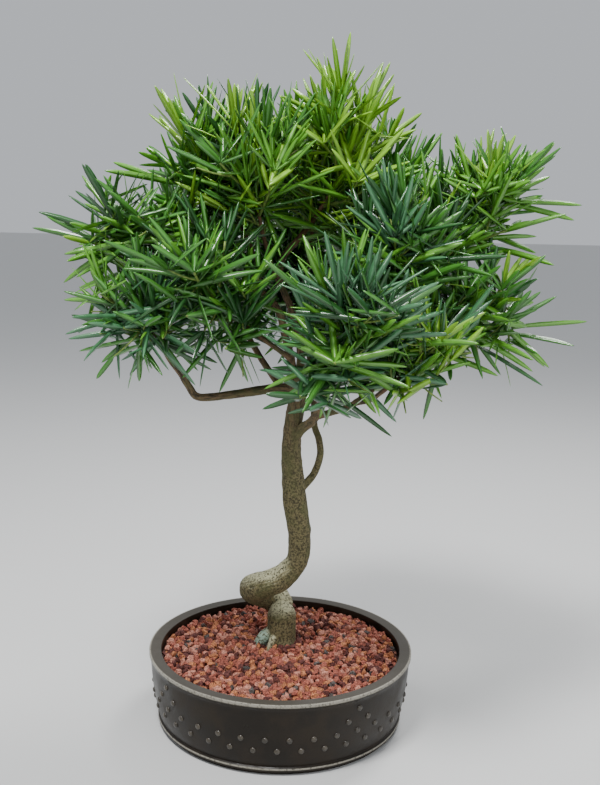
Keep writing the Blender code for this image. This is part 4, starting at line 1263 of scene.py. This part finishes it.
class Mass:
    """The growth of one mass of foliage: its stem, twigs, finer twigs and leaves."""

    def __init__(self, name, spines, limbs, settings):
        bough, tip, self.reach, self.twigs, self.droop, self.mood = MASSES[name]
        self.name = name
        self.settings = settings
        self.random = random.Random(name)
        self.finer = random.Random(f"{name} {settings.seed}")
        self.spines = spines
        self.limbs = limbs
        self.path, self.heading, self.radius = stem_path(bough, tip)
        self.shoots = []
        self.leaves = {tone: [] for tone in TONES}
        self.taken = numpy.zeros((0, 3))

    def inside(self, points, margin, extra=0.0):
        """Whether all points are nearer this mass's stem than any other's."""
        own = numpy.linalg.norm(points[:, None, :] - self.spines[self.name][None], axis=2).min(axis=1)
        if own.max() > self.reach + extra:
            return False
        for name, spine in self.spines.items():
            if name == self.name:
                continue
            other = numpy.linalg.norm(points[:, None, :] - spine[None], axis=2).min(axis=1)
            if (other < own + margin).any():
                return False
        return True

    def add_twig(self, index):
        """One side twig by the rule of the solids, with the same draws."""
        share = FIRST_TWIG + TWIG_SPAN * index / max(1, self.twigs - 1)
        root, along = station(self.path, share)
        turn = GOLDEN_ANGLE * index + self.random.uniform(-TWIG_TURN_SPREAD, TWIG_TURN_SPREAD)
        spread = self.random.uniform(-TWIG_ANGLE_SPREAD, TWIG_ANGLE_SPREAD)
        heading = leaning(along, turn, math.radians(TWIG_ANGLE + spread))
        heading = (heading + UP * (TWIG_LIFT - self.droop)).normalized()
        length = TWIG_LENGTH * (LOWEST_TWIG_LENGTH - TWIG_TAPER * share)
        length *= self.random.uniform(*TWIG_LENGTHS)
        for shorter in TWIG_TRIES:
            end = root + heading * length * shorter
            bend = root + (heading - UP * TWIG_SAG).normalized() * length * shorter * 0.5
            fine = numpy.array(between(root, bend, 2) + between(bend, end, 0))
            clear = gaps_to(fine, self.limbs) > LIMB_MARGIN + TWIG_RADII[0]
            apart = gaps_to(fine[3:], self.taken) > BLADE_MARGIN * 2
            if clear and apart and self.inside(fine, SPACE_MARGIN):
                self.shoots.append(([root, root.lerp(bend, 0.3), bend, end], TWIG_RADII[0]))
                self.taken = numpy.vstack([self.taken, fine])
                return

    def add_finer_twigs(self):
        """Finer twigs on the twigs, each left out where it doesn't fit."""
        for path, _ in list(self.shoots):
            for index in range(FINER_TWIGS):
                root, along = station(path, self.finer.uniform(*FINER_PLACES))
                turn = GOLDEN_ANGLE * index + self.finer.uniform(*TURNS)
                angle = math.radians(self.finer.uniform(*FINER_ANGLES))
                heading = leaning(along, turn, angle)
                heading = (heading + UP * (TWIG_LIFT - self.droop) * FINER_LIFT).normalized()
                length = self.finer.uniform(*FINER_LENGTHS)
                end = root + heading * length
                bend = root + (heading - UP * FINER_SAG).normalized() * length * 0.5
                fine = numpy.array(between(root, end, 1))
                clear = gaps_to(fine, self.limbs) > LIMB_MARGIN
                if clear and self.inside(fine, 0.0):
                    self.shoots.append(([root, bend, end], TWIG_RADII[1]))

    def add_leaf(self, tone, path, share, turn, length):
        """One leaf at a share of a twig's length, left out where it doesn't fit."""
        root, along = station(path, share)
        opening = blend(LEAF_LOW_ANGLE, LEAF_TIP_ANGLE, share ** LEAF_CLOSING)
        spread = self.finer.uniform(-LEAF_ANGLE_SPREAD, LEAF_ANGLE_SPREAD)
        angle = math.radians(opening + spread)
        heading = leaning(along, turn, angle)
        heading = (heading - UP * self.droop * LEAF_DROOP * math.sin(angle)).normalized()
        side = along.cross(heading).normalized()
        sag = -UP * length * self.finer.uniform(*LEAF_SAGS) * math.sin(angle)
        tip = root + heading * length + sag
        points = numpy.array([tuple(root.lerp(tip, test)) for test in LEAF_TESTS])
        if not self.inside(points, -LEAF_OVERLAP, LEAF_OVERREACH):
            return
        if gaps_to(points, self.limbs) < LEAF_CLEARANCE:
            return
        if tip.z < skirt(tip.x):
            return
        face = heading.cross(side)
        turn_matrix = Matrix((side, -face, heading)).transposed()
        width = self.settings.leaf_width * self.finer.uniform(*LEAF_WIDTHS)
        self.leaves[tone].append((root, turn_matrix.to_euler(), (width, width, length), sag))

    def leaf_out(self, path, first):
        """Leaves round one stem or twig by the golden angle, and a tuft at its tip."""
        # A mass of the dark mood draws darker tones: painted shade.
        tone = self.finer.choices(list(TONES), TONE_ODDS[self.mood])[0]
        walked = lengths_along(path)[-1]
        count = max(LEAST_LEAVES, int(walked * (1 - first) / self.settings.leaf_spacing))
        phase = self.finer.uniform(0.0, 2 * math.pi)
        for index in range(count):
            share = first + (LAST_LEAF - first) * index / (count - 1)
            swell = math.sin(math.pi * (LEAF_SWELL[0] + LEAF_SWELL[1] * share))
            fullness = LEAF_FULLNESS[0] + LEAF_FULLNESS[1] * swell
            length = self.settings.leaf_length * fullness * self.finer.uniform(*LEAF_LENGTHS)
            self.add_leaf(tone, path, share, phase + GOLDEN_ANGLE * index, length)
        for index in range(count, count + TUFT_LEAVES):
            length = self.settings.leaf_length * self.finer.uniform(*TUFT_LENGTHS)
            self.add_leaf(tone, path, TUFT_PLACE, phase + GOLDEN_ANGLE * index, length)

    def grow(self):
        """Twigs first, then finer twigs, then the leaves on all of them."""
        for index in range(self.twigs):
            self.add_twig(index)
        self.add_finer_twigs()
        self.leaf_out(self.path, FIRST_LEAF_ON_STEM)
        for path, _ in self.shoots:
            self.leaf_out(path, FIRST_LEAF_ON_TWIG)


BLADE_RINGS = ((0.0, 0.16), (0.05, 0.44), (0.15, 0.86), (0.32, 1.0), (0.66, 0.97),
               (0.86, 0.72), (0.96, 0.34))
BLADE_FOLD = 0.12
BLADE_THICK = 0.075
BLADE_TIP_LIFT = 0.02
RIB_WIDTHS = (0.07, 0.02)
RIB_STRENGTH = 0.6


def blade_pattern():
    """One leaf a unit long and wide, folded along its rib, that the recipe repeats."""
    corners = []
    for along, width in BLADE_RINGS:
        half = width / 2
        lift = BLADE_FOLD * width
        corners += [(-half, lift, along), (0.0, BLADE_THICK * width, along),
                    (half, lift, along), (0.0, -BLADE_THICK * width, along)]
    corners.append((0.0, BLADE_TIP_LIFT, 1.0))
    faces = [(0, 1, 2, 3)]
    for ring in range(len(BLADE_RINGS) - 1):
        for side in range(4):
            low = ring * 4 + side
            low_next = ring * 4 + (side + 1) % 4
            faces.append((low_next, low, low + 4, low_next + 4))
    first = (len(BLADE_RINGS) - 1) * 4
    for side in range(4):
        faces.append((first + (side + 1) % 4, first + side, len(corners) - 1))
    shape = Shape()
    shape.add(corners, faces)
    pattern = shape.piece("blade_pattern")
    along = pattern.data.attributes.new("along", "FLOAT", "POINT")
    along.data.foreach_set("value", [corner[2] for corner in corners])
    layer = pattern.data.uv_layers.new(name="blade")
    for loop in pattern.data.loops:
        x, _, z = corners[loop.vertex_index]
        layer.data[loop.index].uv = (x + 0.5, z)
    pattern.hide_render = True
    return pattern


def leaf_recipe():
    """Instances the blade on every point, turned, sized and bent by its attributes."""
    recipe = Recipe("Leaf sprays", {"Blade": "Object", "Material": "Material"})
    given = recipe.given
    blade = recipe.add("GeometryNodeObjectInfo", {"Object": given["Blade"]})
    placed = recipe.add("GeometryNodeInstanceOnPoints", {
        "Points": given["Geometry"], "Instance": blade.outputs["Geometry"],
        "Rotation": recipe.named("turn"), "Scale": recipe.named("size")})
    real = recipe.add("GeometryNodeRealizeInstances", {"Geometry": placed.outputs["Instances"]})
    curve = recipe.add("ShaderNodeMath", {0: recipe.named("along", "FLOAT"), 1: 2.0},
                       operation="POWER")
    shift = recipe.add("ShaderNodeVectorMath", {0: recipe.named("sag"),
                                                "Scale": curve.outputs[0]}, operation="SCALE")
    sagged = recipe.add("GeometryNodeSetPosition", {"Geometry": real.outputs["Geometry"],
                                                    "Offset": shift.outputs[0]})
    recipe.finish(sagged.outputs["Geometry"], given["Material"])
    return recipe


def leaf_finish(name, colour):
    """Waxy leaf with a paler rib, a darker root and slight clouds of colour."""
    finish = Finish("leaf_" + name, 0.32, Coat_Weight=0.5, Coat_Roughness=0.16)
    along = finish.add("ShaderNodeUVMap", {}, uv_map="blade").outputs["UV"]
    parts = finish.add("ShaderNodeSeparateXYZ", {"Vector": along})
    off_rib = finish.calculate("SUBTRACT", parts.outputs["X"], 0.5)
    off_rib = finish.calculate("ABSOLUTE", off_rib)
    rib = finish.step(off_rib, *RIB_WIDTHS)
    clouds = finish.noise(finish.place(), 60.0, 3.0)
    tone = finish.mix(finish.step(clouds, 0.30, 0.70), shade(colour, 0.65), colour)
    tone = finish.mix(finish.step(parts.outputs["Y"], 0.25, 1.0), tone, colour)
    rib_share = finish.calculate("MULTIPLY", rib, RIB_STRENGTH)
    finish.colour(finish.mix(rib_share, tone, shade(colour, 1.45, 0.01)))
    return finish.material


def twig_finish(name, colour, roughness):
    """Shoot or woody twig, streaked along its length."""
    finish = Finish("twig_" + name, roughness)
    clouds = finish.noise(finish.place(), 240.0, 3.0)
    finish.colour(finish.mix(finish.step(clouds, 0.35, 0.65), shade(colour, 0.5), colour))
    finish.bump(clouds, 0.0003, 0.6)
    return finish.material


class BONSAI_OT_foliage(bpy.types.Operator):
    """Grows the twigs and the leaves of every mass of foliage"""

    bl_idname = "bonsai.foliage"
    bl_label = "Foliage"

    def execute(self, context):
        settings = context.scene.bonsai_foliage
        spines = {}
        for name, (bough, tip, *_) in MASSES.items():
            path = stem_path(bough, tip)[0]
            spines[name] = numpy.array(smooth_route(path, SPINE_STEP))
        limbs = limb_samples()
        wood = Shape()
        green = Shape()
        leaves = {tone: [] for tone in TONES}
        for name in MASSES:
            mass = Mass(name, spines, limbs, settings)
            mass.grow()
            rings = len(mass.path)
            radii = [mass.radius + (TWIG_RADII[1] - mass.radius) * ring / (rings - 1)
                     for ring in range(rings)]
            fine = smooth_route([(*point, radius) for point, radius in zip(mass.path, radii)],
                                STEM_STEP)
            half = len(fine) * WOODY_SHARE[0] // WOODY_SHARE[1]
            start = (*(Vector(fine[0][:3]) - mass.heading * STEM_SINK), fine[0][3])
            wood.add(*limb_tube([start] + fine[:half + 1], TWIG_SIDES))
            green.add(*limb_tube(fine[half:], TWIG_SIDES))
            for path, radius in mass.shoots:
                fine = smooth_route(path, TWIG_STEP)
                radii = [radius * (1.0 - TWIG_THINNING * step / (len(fine) - 1))
                         for step in range(len(fine))]
                green.add(*tube(fine, radii, TWIG_SIDES))
            for tone in TONES:
                leaves[tone] += mass.leaves[tone]
        masses = list(MASSES)
        seat(wood.piece("twigs_woody"), twig_finish("woody", WOODY_COLOUR, 0.85),
             "bark", *masses)
        seat(green.piece("twigs_green"), twig_finish("green", GREEN_COLOUR, 0.6),
             "foliage", *masses)
        pattern = blade_pattern()
        recipe = leaf_recipe()
        for tone, colour in TONES.items():
            rows = leaves[tone]
            material = leaf_finish(tone, colour)
            sprays = points_piece("leaves_" + tone, [row[0] for row in rows],
                                  {"turn": [row[1] for row in rows],
                                   "size": [row[2] for row in rows],
                                   "sag": [row[3] for row in rows]})
            recipe.apply(sprays, Blade=pattern, Material=material)
            seat(sprays, material, "foliage", *masses)
        bpy.data.objects.remove(pattern, do_unlink=True)
        return {"FINISHED"}


def area_light(name, place, height, size, power):
    """A soft square light that looks at a height on the pot's axis."""
    data = bpy.data.lights.new(name, "AREA")
    data.size = size
    data.energy = power
    lamp = link(name, data)
    lamp.location = place
    lamp.rotation_euler = (UP * height - Vector(place)).to_track_quat("-Z", "Y").to_euler()


class BONSAI_OT_stage(bpy.types.Operator):
    """Sets up the pale floor, the soft light and the camera"""

    bl_idname = "bonsai.stage"
    bl_label = "Stage"

    def execute(self, context):
        settings = context.scene.bonsai_stage
        half = FLOOR_HALF
        shape = Shape()
        shape.add([(-half, -half, 0.0), (half, -half, 0.0), (half, half, 0.0),
                   (-half, half, 0.0)], [(0, 1, 2, 3)])
        floor = shape.piece("floor", smooth=False)
        paint = Finish("floor_paint", 0.8)
        paint.colour(tuple(settings.floor_colour))
        floor.data.materials.append(paint.material)
        world = bpy.data.worlds.new("studio")
        world.use_nodes = True
        sky = world.node_tree.nodes["Background"].inputs
        sky["Color"].default_value = SKY_COLOUR
        sky["Strength"].default_value = SKY_STRENGTH
        context.scene.world = world
        for name, (place, height, size, power) in LIGHTS.items():
            area_light(name, place, height, size, power)
        data = bpy.data.cameras.new("camera")
        data.sensor_width = FRAME_HEIGHT_MM
        data.lens = settings.lens
        camera = link("camera", data)
        pitch = settings.pitch
        yaw = settings.yaw
        forward = Vector((math.sin(yaw) * math.cos(pitch), math.cos(yaw) * math.cos(pitch),
                          -math.sin(pitch)))
        right = forward.cross(UP).normalized()
        top = right.cross(forward)
        level = Matrix((right, top, -forward)).transposed()
        matrix = (level @ Matrix.Rotation(settings.roll, 3, "Z")).to_4x4()
        matrix.translation = (0.0, -settings.distance, settings.height)
        camera.matrix_world = matrix
        context.scene.camera = camera
        return {"FINISHED"}


class BONSAI_PT_panel(bpy.types.Panel):
    """Lists the sizes and the steps of the bonsai"""

    bl_label = "Potted Buddhist Pine"
    bl_idname = "BONSAI_PT_panel"
    bl_space_type = "VIEW_3D"
    bl_region_type = "UI"
    bl_category = "Bonsai"

    def draw(self, context):
        scene = context.scene
        groups = ((scene.bonsai_stage, "bonsai.stage"), (scene.bonsai_pot, "bonsai.pot"),
                  (scene.bonsai_gravel, "bonsai.gravel"), (scene.bonsai_bark, "bonsai.limbs"),
                  (scene.bonsai_foliage, "bonsai.foliage"))
        for settings, operator in groups:
            box = self.layout.box()
            for field in settings.bl_rna.properties:
                if field.identifier not in ("rna_type", "name"):
                    box.prop(settings, field.identifier)
            box.operator(operator)


GROUPS = {"bonsai_stage": StageSettings, "bonsai_pot": PotSettings,
          "bonsai_gravel": GravelSettings, "bonsai_bark": BarkSettings,
          "bonsai_foliage": FoliageSettings}
OPERATORS = (BONSAI_OT_stage, BONSAI_OT_pot, BONSAI_OT_gravel, BONSAI_OT_limbs,
             BONSAI_OT_foliage)


def register():
    """Registers the settings, the operators and the panel."""
    for name, group in GROUPS.items():
        bpy.utils.register_class(group)
        setattr(bpy.types.Scene, name, PointerProperty(type=group))
    for operator in OPERATORS:
        bpy.utils.register_class(operator)
    bpy.utils.register_class(BONSAI_PT_panel)


def unregister():
    """Removes what register added."""
    bpy.utils.unregister_class(BONSAI_PT_panel)
    for operator in reversed(OPERATORS):
        bpy.utils.unregister_class(operator)
    for name, group in GROUPS.items():
        delattr(bpy.types.Scene, name)
        bpy.utils.unregister_class(group)


def main():
    """Builds the whole bonsai."""
    register()
    bpy.ops.bonsai.stage()
    bpy.ops.bonsai.pot()
    bpy.ops.bonsai.gravel()
    bpy.ops.bonsai.limbs()
    bpy.ops.bonsai.foliage()
    bpy.context.view_layer.update()


if __name__ == "__main__":
    main()
